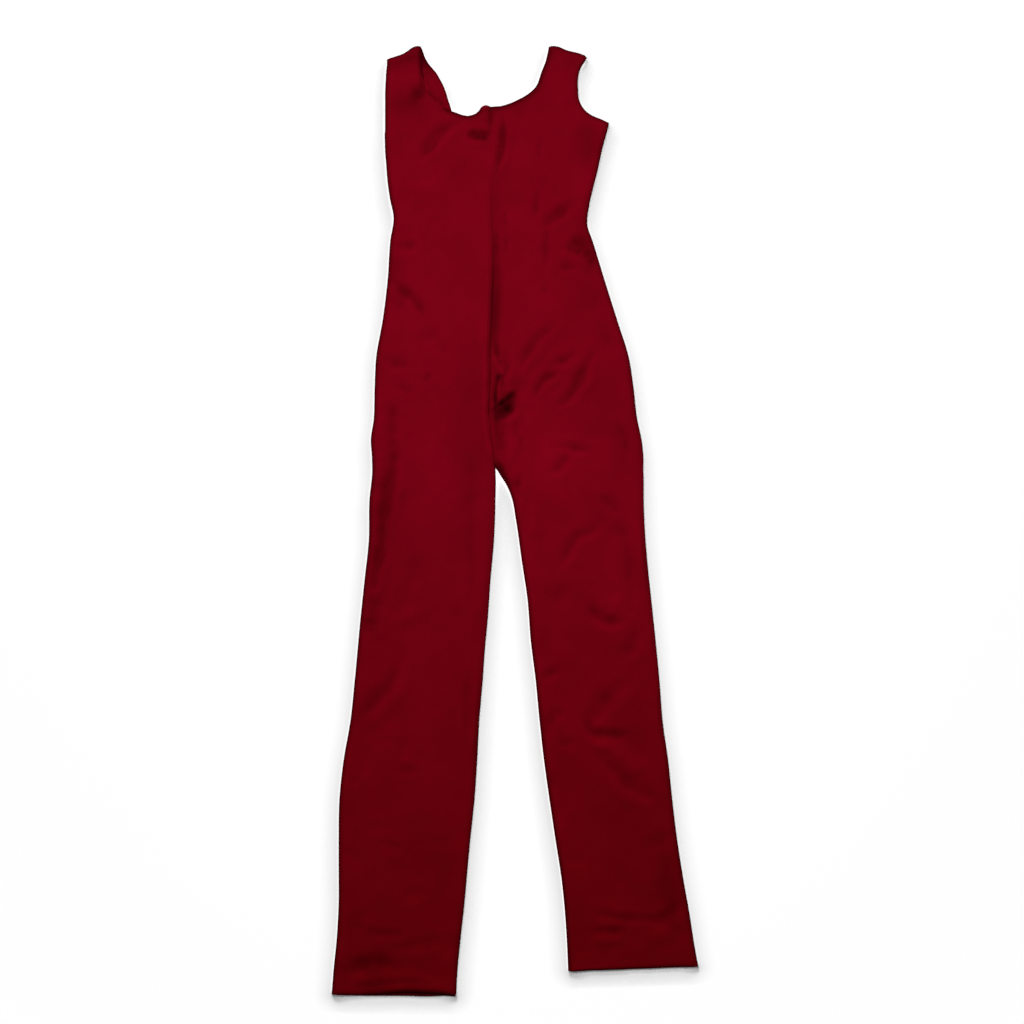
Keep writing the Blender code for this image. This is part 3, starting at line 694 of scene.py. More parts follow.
def stitchLines(panel):
    # distance field, how far in the row runs, and the step up to the doubled cloth
    rows = [(panel["toNeck"], hems["neckRow"], 1.0), (panel["toArm"], hems["armholeRow"], 1.0)]
    return rows + [(panel["fromAnkle"], row, 0.4) for row in hems["ankleRows"]]


def hemShape(panel):
    # grooves under the rows of stitches, and the step where the cloth is double
    shape = np.zeros(panel["u"].shape)
    for far, line, share in stitchLines(panel):
        shape -= hems["groove"] * (0.6 if share < 1 else 1.0) * bell(far - line, hems["grooveWidth"])
        shape += hems["doubled"] * share * (1 - smoothStep((far - line) / (2.5 * mm)))
    return shape


# against y in metres: how far the left front sinks under the centre fold, how much of the painted shade
# under that fold is let through, how much the right front's inner edge turns down, and how full it is
alongFold = {
    "tuck": ((0.10, 0.138, 0.152, 0.168, 0.20, 0.232, 0.262, 0.32, 0.36, 0.40, 0.43, 0.47),
             (0.10, 0.12, 0.40, 0.62, 0.56, 0.36, 0.62, 0.95, 0.80, 0.32, 0.10, 0.06)),
    "shade": ((0.09, 0.138, 0.155, 0.20, 0.23, 0.262, 0.32, 0.40, 0.47),
              (0.10, 0.10, 0.55, 0.50, 0.20, 0.40, 0.50, 0.45, 0.40)),
    "turn": ((0.085, 0.10, 0.145, 0.17, 0.21, 0.25, 0.32, 0.36, 0.40, 0.44, 0.47),
             (1.0, 0.35, 0.38, 0.60, 0.55, 0.60, 0.75, 0.70, 0.35, 0.11, 0.08)),
    "full": ((0.36, 0.40, 0.44, 0.47), (1.0, 0.75, 0.5, 0.4)),
}


def besideBack(panel):
    # where the right front's neckline lies close on the back that shows beside it
    x, y = panel["x"], panel["y"]
    if panel["side"] > 0:
        return np.zeros(y.shape)
    return smoothStep((y - 0.586) / 0.006) * smoothStep((0.640 - y) / 0.012) * (x > -0.133)


def frontHeight(panel):
    x, y, toOuter, toInner, sewnOuter = (panel[k] for k in ("x", "y", "toOuter", "toInner", "sewnOuter"))
    sewn, tuck, butt = (panel["kinds"][k] for k in ("sewn", "tuck", "butt"))
    side = panel["side"]
    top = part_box("front_right")[1].z - jersey["crown"]
    full, reach, radius = jersey["edgeFull"][side], jersey["edgeReach"], jersey["seamRoll"]
    outerDrop = sewnOuter * (roll(toOuter, radius) + softRoll(toOuter, reach, full, 1.5))
    outerDrop += (1 - sewnOuter) * roll(toOuter, jersey["hemRoll"])
    # the inner edge: rolled where sewn or folded, rounded at the neck, sunk where it is tucked
    innerDrop = sewn * (roll(toInner, radius) + softRoll(toInner, reach, full, 1.5))
    if side < 0:
        innerDrop *= np.interp(y, *alongFold["turn"])
    flat = besideBack(panel)
    rolled = roll(panel["toNeck"], 1.7 * mm) * (1 - flat)
    rolled += flat * (softRoll(panel["toNeck"], 14 * mm, 0.55 * mm) + roll(panel["toNeck"], 0.25 * mm))
    innerDrop = np.maximum(innerDrop, rolled)
    # the strip under the fold lies flat this far in, and then takes so many mm to climb back
    sunk = 7 * mm + 1.5 * mm * smoothStep((0.42 - y) / 0.1)
    climb = 6 + 12 * bell(y - 0.31, 0.075) + 3 * bell(y - 0.20, 0.03)
    deep = (top - 2.4 * mm) * np.interp(y, *alongFold["tuck"])
    seamDip = 0.28 * smoothStep((y - 0.552) / 0.012) + 0.04
    tucked = tuck * (deep * (1 - smoothStep((toInner - sunk) / (climb * mm))))
    innerDrop += tucked + butt * seamDip * mm * bell(toInner, 2.2 * mm)
    base = top + jersey["crown"] * np.sin(pi * panel["u"])
    fuller = np.interp(y, *alongFold["full"])
    base += full * (sewnOuter * puff(toOuter, reach) + sewn * puff(toInner, reach) * fuller)
    base -= np.maximum.reduce((
        outerDrop, innerDrop, softRoll(panel["fromShoulder"], 5 * mm, radius),
        softRoll(panel["fromAnkle"], 7 * mm, 2.0 * mm),
    ))

    folds = np.zeros(x.shape)
    for group, strength, wide in foldGroups:
        for depth, width, lean, points in group:
            folds += crease(x, y, depth * strength, width * wide, lean, points)
    loose = 0.8 + 0.2 * smoothStep((y + 0.35) / 0.3)
    slow, small = (unevenness(x, y, *wave) for wave in jersey["waves"][:2])
    folds += slow + small * loose
    # folds fade out at the edges
    isFold = smoothStep((y - panel["foldFrom"]) / 0.03) * smoothStep((0.478 - y) / 0.02)
    keepInner = 1 - sewn * (1 - 0.5 * isFold) * (1 - smoothStep(toInner / (7 * mm)))
    keepInner *= 1 - tuck * (1 - smoothStep((toInner - 6 * mm) / (3 * mm)))
    keepOuter = 1 - sewnOuter * (1 - smoothStep(toOuter / (7 * mm)))
    keepTop = smoothStep(panel["fromShoulder"] / (6 * mm))
    z = base + folds * keepInner * keepOuter * keepTop
    if side < 0:  # the folded edge stands up as a soft ridge along the centre
        tall = (0.4 + 1.9 * smoothStep((0.50 - y) / 0.20)) * mm * isFold
        z += tall * bell(toInner - 8 * mm, 5 * mm) * smoothStep(toInner / (2.5 * mm))
    z += hemShape(panel) * keepInner * keepTop
    soft = jersey["softFloor"]
    return np.maximum(np.where(z > soft, z, soft + 0.3 * (z - soft)), jersey["floor"])


def backHeight(panel):
    x, y, toOuter, toInner, sewnOuter = (panel[k] for k in ("x", "y", "toOuter", "toInner", "sewnOuter"))
    sewn, butt, hem = (panel["kinds"][k] for k in ("sewn", "butt", "hem"))
    radius = jersey["seamRoll"]

    def turned(share, distance):
        return share * roll(distance, hems["roll"]) * 0.8

    innerRise = sewn * roll(toInner, radius) + turned(hem, toInner)
    innerRise += butt * 0.4 * mm * bell(toInner, 0.9 * mm)
    outerRise = sewnOuter * roll(toOuter, radius) + turned(1 - sewnOuter, toOuter)
    z = np.maximum.reduce((
        outerRise, innerRise, roll(panel["fromShoulder"], radius), turned(1, panel["fromAnkle"])))
    folds = np.zeros(x.shape)
    for depth, width, lean, points in backFolds:
        folds += np.maximum(0.0, -crease(x, y, depth, width, lean, points, lip=0.0)) * 0.55
    folds += np.maximum(0.0, unevenness(x, y, *jersey["waves"][2]))
    keep = smoothStep(toOuter / (6 * mm)) * smoothStep(toInner / (6 * mm))
    keep *= smoothStep(panel["fromShoulder"] / (6 * mm))
    near = bell(panel["toNeck"], 17 * mm) * smoothStep((y - 0.572) / 0.02)
    z = z + folds * keep + 1.3 * mm * near * smoothStep(panel["fromShoulder"] / (14 * mm))
    for far, line, share in stitchLines(panel):
        z += 1.3 * hems["groove"] * bell(far - line, hems["grooveWidth"]) * keep
    return np.maximum(z, 0.0)


def fillBlur(level, weight, reach):
    # soft average over the cloth alone, as a run of three box means each way
    for axis in (0, 1):
        pad = [(reach + 1, reach) if a == axis else (0, 0) for a in (0, 1)]
        for _ in range(3):
            both = []
            for field in (level * weight, weight):
                run = np.cumsum(np.pad(field, pad), axis=axis)
                size = field.shape[axis]
                high = np.take(run, np.arange(2 * reach + 1, 2 * reach + 1 + size), axis=axis)
                both.append((high - np.take(run, np.arange(size), axis=axis)) / (2 * reach + 1))
            level, weight = both[0] / np.maximum(both[1], 1e-9), both[1]
    return level


def hollows(grids, cell=1.5 * mm):
    # how deep each point lies below the cloth round it, read from a map of heights
    every = np.concatenate([g.reshape(-1, 3) for g in grids])
    low = every.min(0) - 4 * cell
    size = np.ceil((every.max(0) - low) / cell).astype(int) + 5
    heights = np.zeros((size[0], size[1]))
    spot = np.round((every[:, :2] - low[:2]) / cell).astype(int)
    np.maximum.at(heights, (spot[:, 0], spot[:, 1]), every[:, 2])
    for _ in range(2):  # fills the cells that no point fell in
        near = np.maximum.reduce([np.roll(heights, step, axis) for axis in (0, 1) for step in (-1, 1)])
        heights = np.where(heights > 0, heights, near)
    cloth = (heights > 0).astype(float)
    means = [fillBlur(heights, cloth, reach) for reach in (2, 6)]
    for g in grids:
        at = (g[:, :, :2] - low[:2]) / cell
        i0, j0 = (np.floor(at[:, :, k]).astype(int) for k in (0, 1))
        fi, fj = at[:, :, 0] - i0, at[:, :, 1] - j0
        depth = []
        for field in means:
            mean = (field[i0, j0] * (1 - fi) * (1 - fj) + field[i0 + 1, j0] * fi * (1 - fj)
                    + field[i0, j0 + 1] * (1 - fi) * fj + field[i0 + 1, j0 + 1] * fi * fj)
            depth.append(np.maximum(0.0, mean - g[:, :, 2]))
        yield *depth, heights[i0, j0]


# painted shade: this base level is set into every piece's colour, so that raised cloth can be painted
# lighter
plainShade = 0.12  # what smooth, open cloth is given, so that raised cloth can be lighter


def clothOf(name, points, flip, uv, shade, material, closedRing=False, shadeInside=False):
    # a named sheet over a grid of points, with its wall, its own UV map and its painted shade
    rows, columns = points.shape[:2]
    index = np.arange(rows * columns).reshape(rows, columns)
    if closedRing:
        index = np.vstack((index, index[:1]))
    quads = np.stack((index[:-1, :-1], index[:-1, 1:], index[1:, 1:], index[1:, :-1]), -1)
    quads = quads.reshape(-1, 4)[:, :: -1 if flip else 1]
    mesh = bpy.data.meshes.new(name)
    mesh.from_pydata(points.reshape(-1, 3).tolist(), [], quads.tolist())
    corner = np.empty(len(mesh.loops), int)
    mesh.loops.foreach_get("vertex_index", corner)
    grain = mesh.uv_layers.new(name="clothGrain")
    grain.data.foreach_set("uv", uv.reshape(-1, 2)[corner].astype(np.float32).ravel())
    # foldShade carries the painted shade that darkens the cloth's colour in folds, hollows and along
    # edges
    mark = mesh.attributes.new("foldShade", "FLOAT", "POINT")
    mark.data.foreach_set("value", shade.astype(np.float32).ravel())
    piece = putObject(name, mesh)
    mesh.materials.append(material)
    wall = piece.modifiers.new("wall", "SOLIDIFY")
    wall.thickness = jersey["thick"]
    wall.offset = -1.0
    selectOnly(piece)
    bpy.ops.object.modifier_apply(modifier="wall")
    # painted shade stays only on the face turned to the inside; the face on the table keeps the plain
    # level
    if shadeInside:  # only the face turned to the inside is shaded
        mark = piece.data.attributes["foldShade"]
        values = np.empty(len(piece.data.vertices), np.float32)
        mark.data.foreach_get("value", values)
        values[: rows * columns] = plainShade
        mark.data.foreach_set("value", values)
    bpy.ops.object.shade_smooth_by_angle(angle=radians(50))
    piece.select_set(False)
    return piece


def addNode(tree, kind, inputs=(), **settings):
    # a shader node with its settings, each input given a plain value or a link
    node = tree.nodes.new("ShaderNode" + kind)
    for name, value in settings.items():
        setattr(node, name, value)
    for name, value in dict(inputs).items():
        if isinstance(value, bpy.types.NodeSocket):
            tree.links.new(value, node.inputs[name])
        else:
            node.inputs[name].default_value = value
    return node


def mathsIn(tree):
    # a short way to add Math nodes to one tree
    def calc(operation, *values):
        return addNode(tree, "Math", enumerate(values), operation=operation).outputs[0]

    return calc


def newGroup(name, ins, outs):
    group = bpy.data.node_groups.new(name, "ShaderNodeTree")
    for label, value in ins.items():
        kind = "NodeSocketVector" if value is None else "NodeSocketFloat"
        socket = group.interface.new_socket(name=label, in_out="INPUT", socket_type=kind)
        if value is not None:
            socket.default_value = value
    for label in outs:
        group.interface.new_socket(name=label, in_out="OUTPUT", socket_type="NodeSocketFloat")
    return group, group.nodes.new("NodeGroupInput").outputs, group.nodes.new("NodeGroupOutput").inputs


def newMaterial(name):
    material = bpy.data.materials.new(name)
    material.use_nodes = True
    return material, material.node_tree


def knitGroup():
    # plain jersey: columns of V-shaped stitches; puts out a height and how deep between stitches
    group, given, out = newGroup(
        "jerseyKnit", {"Vector": None, "Wale": 0.0011, "Course": 0.0009}, ("Height", "Hollow"))
    calc = mathsIn(group)
    split = addNode(group, "SeparateXYZ", {0: given["Vector"]}).outputs
    wobble = addNode(group, "TexNoise", {"Vector": given["Vector"], "Scale": 60.0, "Detail": 1.0})
    drift = calc("MULTIPLY", wobble.outputs[0], 0.0009)
    across = calc("DIVIDE", calc("ADD", split[0], drift), given["Wale"])
    along = calc("DIVIDE", calc("ADD", split[1], drift), given["Course"])
    place = calc("FRACT", across)
    fromMiddle = calc("ABSOLUTE", calc("SUBTRACT", place, 0.5))
    slant = calc("ADD", along, calc("MULTIPLY", fromMiddle, 1.3))
    loop = calc("SINE", calc("MULTIPLY", slant, 2 * pi))
    leg = calc("SINE", calc("MULTIPLY", place, 2 * pi))
    height = calc("MULTIPLY", calc("ABSOLUTE", leg), calc("MULTIPLY_ADD", loop, 0.28, 0.72))
    group.links.new(height, out["Height"])
    group.links.new(calc("SUBTRACT", 1.0, height), out["Hollow"])
    return group


def wearGroup():
    # slow drift of tone, a little fuzz and pilling, all in object space
    group, given, out = newGroup(
        "clothWear", {"Vector": None, "Drift": 9.0, "Fuzz": 900.0}, ("Tone", "Fuzz", "Pill"))
    where = given["Vector"]
    tone = addNode(group, "TexNoise", {
        "Vector": where, "Scale": given["Drift"], "Detail": 5.0, "Roughness": 0.62})
    fuzz = addNode(group, "TexNoise", {"Vector": where, "Scale": given["Fuzz"], "Detail": 3.0})
    pill = addNode(group, "TexVoronoi", {"Vector": where, "Scale": 240.0})
    spot = addNode(group, "MapRange", {
        "Value": pill.outputs["Distance"], "From Min": 0.16, "From Max": 0.05})
    group.links.new(tone.outputs[0], out["Tone"])
    group.links.new(fuzz.outputs[0], out["Fuzz"])
    group.links.new(spot.outputs["Result"], out["Pill"])
    return group


knit = knitGroup()
wear = wearGroup()
# foldDark: how far the painted shade darkens each finish's colour
finishes = {
    "face": {
        "deep": (0.190, 0.0009, 0.0072), "light": (0.224, 0.0011, 0.0089), "ankleTint": (1.0, 0.9, 0.60),
        "wale": 0.0011, "course": 0.0009, "knitHeight": 0.00012, "foldDark": 1.0,
    },
    "inside": {
        "deep": (0.180, 0.0009, 0.0074), "light": (0.206, 0.0011, 0.0090), "ankleTint": (1.0, 0.9, 0.60),
        "wale": 0.0011, "course": 0.0018, "knitHeight": 0.00014, "foldDark": 1.0,
    },
    "thread": {"deep": (0.120, 0.0010, 0.0060), "light": (0.150, 0.0014, 0.0080)},
}


def mixed(tree, a, b, share, blend="MIX"):
    return addNode(
        tree, "Mix", {"A": a, "B": b, "Factor": share}, data_type="RGBA", blend_type=blend
    ).outputs["Result"]


def jerseyFinish(name, finish):
    # matte stretch jersey with its knit and slow tone changes, its colour darkened by painted shade in
    # creases, hollows, along edges and between stitches
    material, tree = newMaterial(name)
    shader = tree.nodes["Principled BSDF"].inputs
    calc = mathsIn(tree)
    deep, light, ankleTint = (finish[k] for k in ("deep", "light", "ankleTint"))
    grain = addNode(tree, "UVMap", uv_map="clothGrain").outputs[0]
    place = addNode(tree, "TexCoord").outputs["Object"]
    knitted = addNode(tree, "Group", node_tree=knit)
    for label, value in (("Wale", finish["wale"]), ("Course", finish["course"])):
        knitted.inputs[label].default_value = value
    tree.links.new(grain, knitted.inputs["Vector"])
    worn = addNode(tree, "Group", {"Vector": place}, node_tree=wear).outputs
    tone = addNode(tree, "MapRange", {"Value": worn["Tone"], "From Min": 0.36, "From Max": 0.64})
    colour = mixed(tree, (*deep, 1), (*light, 1), tone.outputs["Result"])
    # the legs turn a warmer red than the chest, more so towards the ankles
    along = addNode(tree, "SeparateXYZ", {0: grain}).outputs[1]
    lower = addNode(tree, "MapRange", {"Value": along, "From Min": 0.75, "From Max": 0.0})
    colour = mixed(tree, colour, (*ankleTint, 1), lower.outputs["Result"], "MULTIPLY")
    # painted shade: the foldShade attribute, with a little more between the stitches, darkens the colour
    # towards a near-black red
    fold = addNode(tree, "Attribute", attribute_name="foldShade").outputs["Fac"]
    between = calc("MULTIPLY", knitted.outputs["Hollow"], 0.06)
    shade = calc("MULTIPLY_ADD", fold, finish["foldDark"], between)
    colour = mixed(tree, colour, (*(0.08 * channel for channel in deep), 1), shade)
    tree.links.new(colour, shader["Base Color"])
    rough = addNode(tree, "MapRange", {"Value": worn["Fuzz"], "To Min": 0.84, "To Max": 0.97})
    tree.links.new(rough.outputs["Result"], shader["Roughness"])
    relief = calc("MULTIPLY_ADD", worn["Fuzz"], 0.45, knitted.outputs["Height"])
    relief = calc("MULTIPLY_ADD", worn["Pill"], 0.2, relief)
    bump = addNode(tree, "Bump", {
        "Height": relief, "Strength": 0.35, "Distance": finish["knitHeight"]})
    tree.links.new(bump.outputs["Normal"], shader["Normal"])
    shader["Metallic"].default_value = 0.0
    shader["Specular IOR Level"].default_value = 0.004
    shader["Sheen Weight"].default_value = 0.02
    shader["Sheen Roughness"].default_value = 0.5
    shader["Sheen Tint"].default_value = (0.9, 0.01, 0.06, 1)
    return material


def threadFinish(name, finish):
    # spun thread: fine twist across each stitch
    material, tree = newMaterial(name)
    shader = tree.nodes["Principled BSDF"].inputs
    place = addNode(tree, "TexCoord").outputs["Object"]
    twist = addNode(tree, "TexNoise", {"Vector": place, "Scale": 1600.0}).outputs[0]
    colour = mixed(tree, (*finish["deep"], 1), (*finish["light"], 1), twist)
    tree.links.new(colour, shader["Base Color"])
    bump = addNode(tree, "Bump", {"Height": twist, "Strength": 0.3, "Distance": 0.0001})
    tree.links.new(bump.outputs["Normal"], shader["Normal"])
    shader["Roughness"].default_value = 0.7
    shader["Specular IOR Level"].default_value = 0.1
    return material


jerseyFace = jerseyFinish("jerseyFace", finishes["face"])
jerseyInside = jerseyFinish("jerseyInside", finishes["inside"])
spunThread = threadFinish("spunThread", finishes["thread"])
print("finishes ready")

# the front of each ankle edge springs up and back from the one below: middle, spread, reach, back, up
ankleSpring = {
    "front_right": (0.65, 0.33, 34 * mm, 7.2 * mm, 1.9 * mm),
    "front_left": (0.74, 0.36, 26 * mm, 0.2 * mm, 0.8 * mm),
}
for nodeName, panel in panels.items():
    z = frontHeight(panel) if panel["up"] > 0 else backHeight(panel)
    if nodeName in ankleSpring:
        middle, spread, reach, back, up = ankleSpring[nodeName]
        rise = bell(panel["u"] - middle, spread) * smoothStep(1 - panel["fromAnkle"] / reach)
        panel["y"] += back * rise
        z = z + up * rise
    panel["grid"] = np.concatenate((panel["plan"], z[:, :, None]), axis=2)

# painted shade along the outer side edge and along the inner one, against y in metres
edgeShade = {
    -1: (
        ((-0.66, -0.30, 0.0, 0.45), (0.55, 0.57, 0.60, 0.61)),
        ((-0.66, -0.30, -0.20, 0.05, 0.085, 0.12, 0.20, 0.47),
         (0.27, 0.25, 0.08, 0.07, 0.10, 0.02, 0.08, 0.04)),
    ),
    1: (
        ((-0.66, -0.30, -0.20, 0.08, 0.16, 0.42, 0.46), (0.38, 0.34, 0.12, 0.12, 0.42, 0.43, 0.35)),
        ((-0.66, -0.30, -0.20, 0.06), (0.57, 0.55, 0.50, 0.50)),
    ),
}
# how wide it is at each edge, and how strong where that does not change along it
rimWide = {
    "toOuter": 4.1 * mm, "toInner": 3.5 * mm, "toNeck": 4.4 * mm, "toArm": 3.7 * mm,
    "fromShoulder": 3.3 * mm, "fromAnkle": 3.9 * mm,
}
rimShade = {"toNeck": 0.72, "toArm": 0.60, "fromShoulder": 0.69}
# painted shade further in: from which edge, how much (below 0 is painted lighter), where it is strongest,
# how wide
innerShade = {
    -1: (
        ("toNeck", 0.08, 0, 6 * mm), ("fromShoulder", 0.26, 13 * mm, 10 * mm),
        ("toArm", -0.05, 8 * mm, 3.2 * mm),
    ),
    1: (("toNeck", 0.20, 0, 9 * mm), ("fromShoulder", 0.11, 0, 26 * mm)),
}
# and beside the centre fold, against y in metres
besideFold = ((0.20, 0.232, 0.262, 0.30, 0.36, 0.43), (0.03, 0.0, 0.25, 0.33, 0.24, 0.10))


def lessLight(panel):
    # how much light is left in places that little of it reaches, to be painted into the cloth's colour
    x, y, side, kinds = (panel[k] for k in ("x", "y", "side", "kinds"))
    ofSide, ofSeam = edgeShade[side]

    def rim(edge):
        return rimShade.get(edge, 1.0) * bell(panel[edge], rimWide[edge])

    ofFoot = 0.45 if side < 0 else 0.30 + 0.26 * smoothStep((panel["u"] - 0.62) / 0.3)
    lit = 1 - np.maximum.reduce((
        panel["sewnOuter"] * rim("toOuter") * np.interp(y, *ofSide),
        kinds["sewn"] * rim("toInner") * np.interp(y, *ofSeam),
        rim("toNeck") * (1 - besideBack(panel)),
        rim("toArm"), rim("fromShoulder"), ofFoot * rim("fromAnkle"),
    ))
    for edge, most, middle, width in innerShade[side]:
        lit *= 1 - most * bell(panel[edge] - middle, width)
    if side > 0:
        beside = 1 - smoothStep((panel["toInner"] - 5 * mm) / (20 * mm))
        lit *= 1 - np.interp(y, *besideFold) * kinds["tuck"] * beside
    for share, width, points in lightBands:
        if side > 0 or points[0][0] < -36 or points[0][1] > 500:
            lit *= 1 + crease(x, y, share, width, 0.0, points, lip=0.0) / mm
    return lit


# painted shade in hollows: the most there can be, and how fast it comes with their depth in metres
hollowShade = {"most": 0.75, "close": 260, "wide": 150}
wall = np.array((0, 0, jersey["thick"]))
seenFromAbove = [panel["grid"] + (wall if panel["up"] < 0 else 0) for panel in panels.values()]
for panel, (close, wide, topmost) in zip(panels.values(), hollows(seenFromAbove)):
    deep = close * hollowShade["close"] + wide * hollowShade["wide"]
    lost = hollowShade["most"] * (1 - np.exp(-deep))
    if panel["up"] < 0:
        lit = np.where(topmost < 2.6 * mm, 1 - lost, 1.0)
    else:
        if panel["side"] > 0:
            under = panel["kinds"]["tuck"] * (1 - smoothStep((panel["toInner"] - 9 * mm) / (7 * mm)))
            lost *= 1 - under * (1 - np.interp(panel["y"], *alongFold["shade"]))
        lit = (1 - lost) * lessLight(panel)
    # what light is left becomes the painted shade set into the cloth's colour
    panel["shade"] = np.clip(1 - (1 - plainShade) * lit, 0.0, 1.0)

pieces = {}
for nodeName, panel in panels.items():
    grain = np.stack((panel["toInner"], panel["fromAnkle"]), -1)  # across and along, in metres
    pieces[nodeName] = clothOf(
        pieceName(nodeName), panel["grid"], (panel["side"] > 0) == (panel["up"] > 0), grain,
        panel["shade"], jerseyFace, shadeInside=panel["up"] < 0)
    print("cloth", nodeName, len(pieces[nodeName].data.polygons), "faces")


def surfaceOf(piece):
    mesh = piece.data
    return BVHTree.FromPolygons([v.co for v in mesh.vertices], [p.vertices for p in mesh.polygons])


surfaces = {nodeName: surfaceOf(piece) for nodeName, piece in pieces.items()}


def surfaceAt(nodeName, x, y):
    # place and normal of a panel's outer face at a plan position, or None beside it
    up = panels[nodeName]["up"]
    start = Vector((x, y, 0.08 if up > 0 else -0.05))
    place, normal = surfaces[nodeName].ray_cast(start, Vector((0, 0, -up)))[:2]
    return None if place is None else (place, normal)


def inwardOf(path):
    # unit directions square to a path, to its left
    along = np.gradient(path, axis=0)
    along /= np.linalg.norm(along, axis=1)[:, None]
    return np.stack((-along[:, 1], along[:, 0]), 1)


def evenPath(path, gap):
    total = lengthsAlong(path)[-1]
    return smoothPath(path, np.linspace(0, total, int(round(total / gap)) + 1))


def panelHeights(nodeName, points):
    # the panel's outer heights under a row of plan points, filling any that miss
    hits = [surfaceAt(nodeName, x, y) for x, y in points]
    good = [k for k, hit in enumerate(hits) if hit]
    if not good:
        return np.full(len(points), hems["usual"] if panels[nodeName]["up"] > 0 else 0.0)
    return np.interp(np.arange(len(points)), good, [hits[k][0].z for k in good])


def edgeBand(nodeName, path, inward, distances):
    # a band of cloth lying inside a panel, along its hemmed edge
    gap = jersey["thick"] + hems["clear"]
    rows = []
    for d in distances:
        z = panelHeights(nodeName, path + inward * max(d, 1.3 * mm))
        if panels[nodeName]["up"] > 0:
            z = z - gap - roll(d, 0.6 * mm) * 0.2
        else:
            z = z + gap + 0.9 * mm - roll(d, 0.6 * mm) * 0.6
        rows.append(np.column_stack((path + inward * d, z)))
    return np.stack(rows, 1)


# painted shade on the turned-in hems, which are seen only where the back shows
hemShade = {
    "hidden": 0.75,
    "rim": (0.66, 2.3 * mm),  # how strong and how wide
    "shoulder": (0.70, 0.634, 0.028),  # how strong, from which y, and how soon
    "ankle": (0.65, 0.80),  # front half, back half
    "ankleLess": {"right": 0.22, "left": 0.0},  # the right one is open to more light
}


def turnedRing(nodeName, runs, width):
    # a hem from runs of panel name, path along its edge, and which side of the path is inwards
    distances = np.linspace(0.12 * mm, width, 7)
    parts = [edgeBand(name, path, inwardOf(path) * way, distances) for name, path, way in runs]
    grid = np.concatenate(parts, 0)
    around = lengthsAlong(grid[:, 0, :2])
    across = np.linspace(0, width, 7)
    uv = np.stack(np.broadcast_arrays(across[None, :], around[:, None]), -1)
    shades = []
    for (name, path, way), part in zip(runs, parts):
        # painted shade: hidden hems evenly dark, the back's rim and the part up by the shoulder darker
        shade = np.full(part.shape[:2], hemShade["hidden"])
        if panels[name]["up"] < 0:
            most, wide = hemShade["rim"]
            rim = most * bell(distances, wide)[None, :]
            most, start, soon = hemShade["shoulder"]
            deep = most * smoothStep((part[:, :, 1] - start) / soon)
            shade = 1 - (1 - plainShade) * (1 - rim) * (1 - deep)
        shades.append(shade)
    pieces[nodeName] = clothOf(
        pieceName(nodeName), grid, True, uv, np.concatenate(shades, 0), jerseyInside, closedRing=True)


necks = {name: evenPath(panel["neck"], hems["pointGap"]) for name, panel in panels.items()}
arms = {name: evenPath(panel["arm"], hems["pointGap"]) for name, panel in panels.items()}
turnedRing("neck_hem", (
    ("front_left", necks["front_left"], -1),
    ("back_left", necks["back_left"][::-1], 1),
    ("back_right", necks["back_right"], 1),
    ("front_right", necks["front_right"][::-1], -1),
), hems["neckWidth"])
for side, way in (("right", -1), ("left", 1)):
    front, back = "front_" + side, "back_" + side
    turnedRing("armhole_hem_" + side, (
        (front, arms[front], way), (back, arms[back][::-1], -way),
    ), hems["armholeWidth"])


def atAnkle(panel, us, depths):
    # panel surface at shares across and distances up from the ankle edge
    def across(field, u):
        rows = range(16)  # enough of them to reach past the hem
        return np.array([np.interp(u, panel["u"][row], field[row]) for row in rows])

    rows = np.empty((len(depths), len(us), 3))
    for k, u in enumerate(us):
        up = across(panel["fromAnkle"], u)
        for axis in range(3):
            rows[:, k, axis] = np.interp(depths, up, across(panel["grid"][:, :, axis], u))
    return rows


depths = np.linspace(0.15 * mm, hems["ankleDepth"], 9)
shares = np.linspace(0.012, 0.988, 56)
lowest = np.maximum(depths, hems["ankleInset"])
for side in ("right", "left"):
    over, under = (atAnkle(panels[layer + side], shares, lowest) for layer in ("front_", "back_"))
    for layer in (over, under):
        layer[:, :, 1] += (depths - lowest)[:, None]
    over[:, :, 2] = np.maximum(over[:, :, 2] - (jersey["thick"] + hems["clear"]), hems["ankleFloor"])
    raised = under[:, :, 2] + (2 * jersey["thick"] + hems["clear"])
    under[:, :, 2] = np.minimum(raised, over[:, :, 2] - hems["ankleApart"])
    grid = np.concatenate((over.transpose(1, 0, 2), under.transpose(1, 0, 2)[::-1]), 0)
    around = lengthsAlong(grid[:, 0, :2])
    uv = np.stack(np.broadcast_arrays(around[:, None], depths[None, :]), -1)
    # painted shade on the ankle hem: its front half, and its back half, less on the right one
    shade = np.full(grid.shape[:2], hemShade["ankle"][0])
    less = hemShade["ankleLess"][side] * smoothStep(depths / (1.5 * mm))
    shade[len(shares):] = hemShade["ankle"][1] - less
    nodeName = "ankle_hem_" + side
    pieces[nodeName] = clothOf(
        pieceName(nodeName), grid, side == "left", uv, shade, jerseyInside, closedRing=True)
print("hems turned in")

# one thread shape, laid along each row and pressed a little into the cloth
stitch = {
    "length": 2.1 * mm, "width": 0.3375 * mm, "thick": 0.27 * mm,
    "gap": 2.75 * mm,  # from one stitch to the next
    "proud": 0.01 * mm,  # how far its middle stands off the cloth
}
bpy.ops.mesh.primitive_uv_sphere_add(segments=6, ring_count=4, radius=0.5)
oneStitch = bpy.context.object
stitchPoints = np.array([v.co for v in oneStitch.data.vertices])[:, [2, 0, 1]]  # long way along X
stitchPoints[:, 0] = np.sign(stitchPoints[:, 0]) * np.abs(stitchPoints[:, 0] * 2) ** 0.8 / 2
stitchFaces = sorted(tuple(p.vertices) for p in oneStitch.data.polygons)
bpy.data.objects.remove(oneStitch, do_unlink=True)


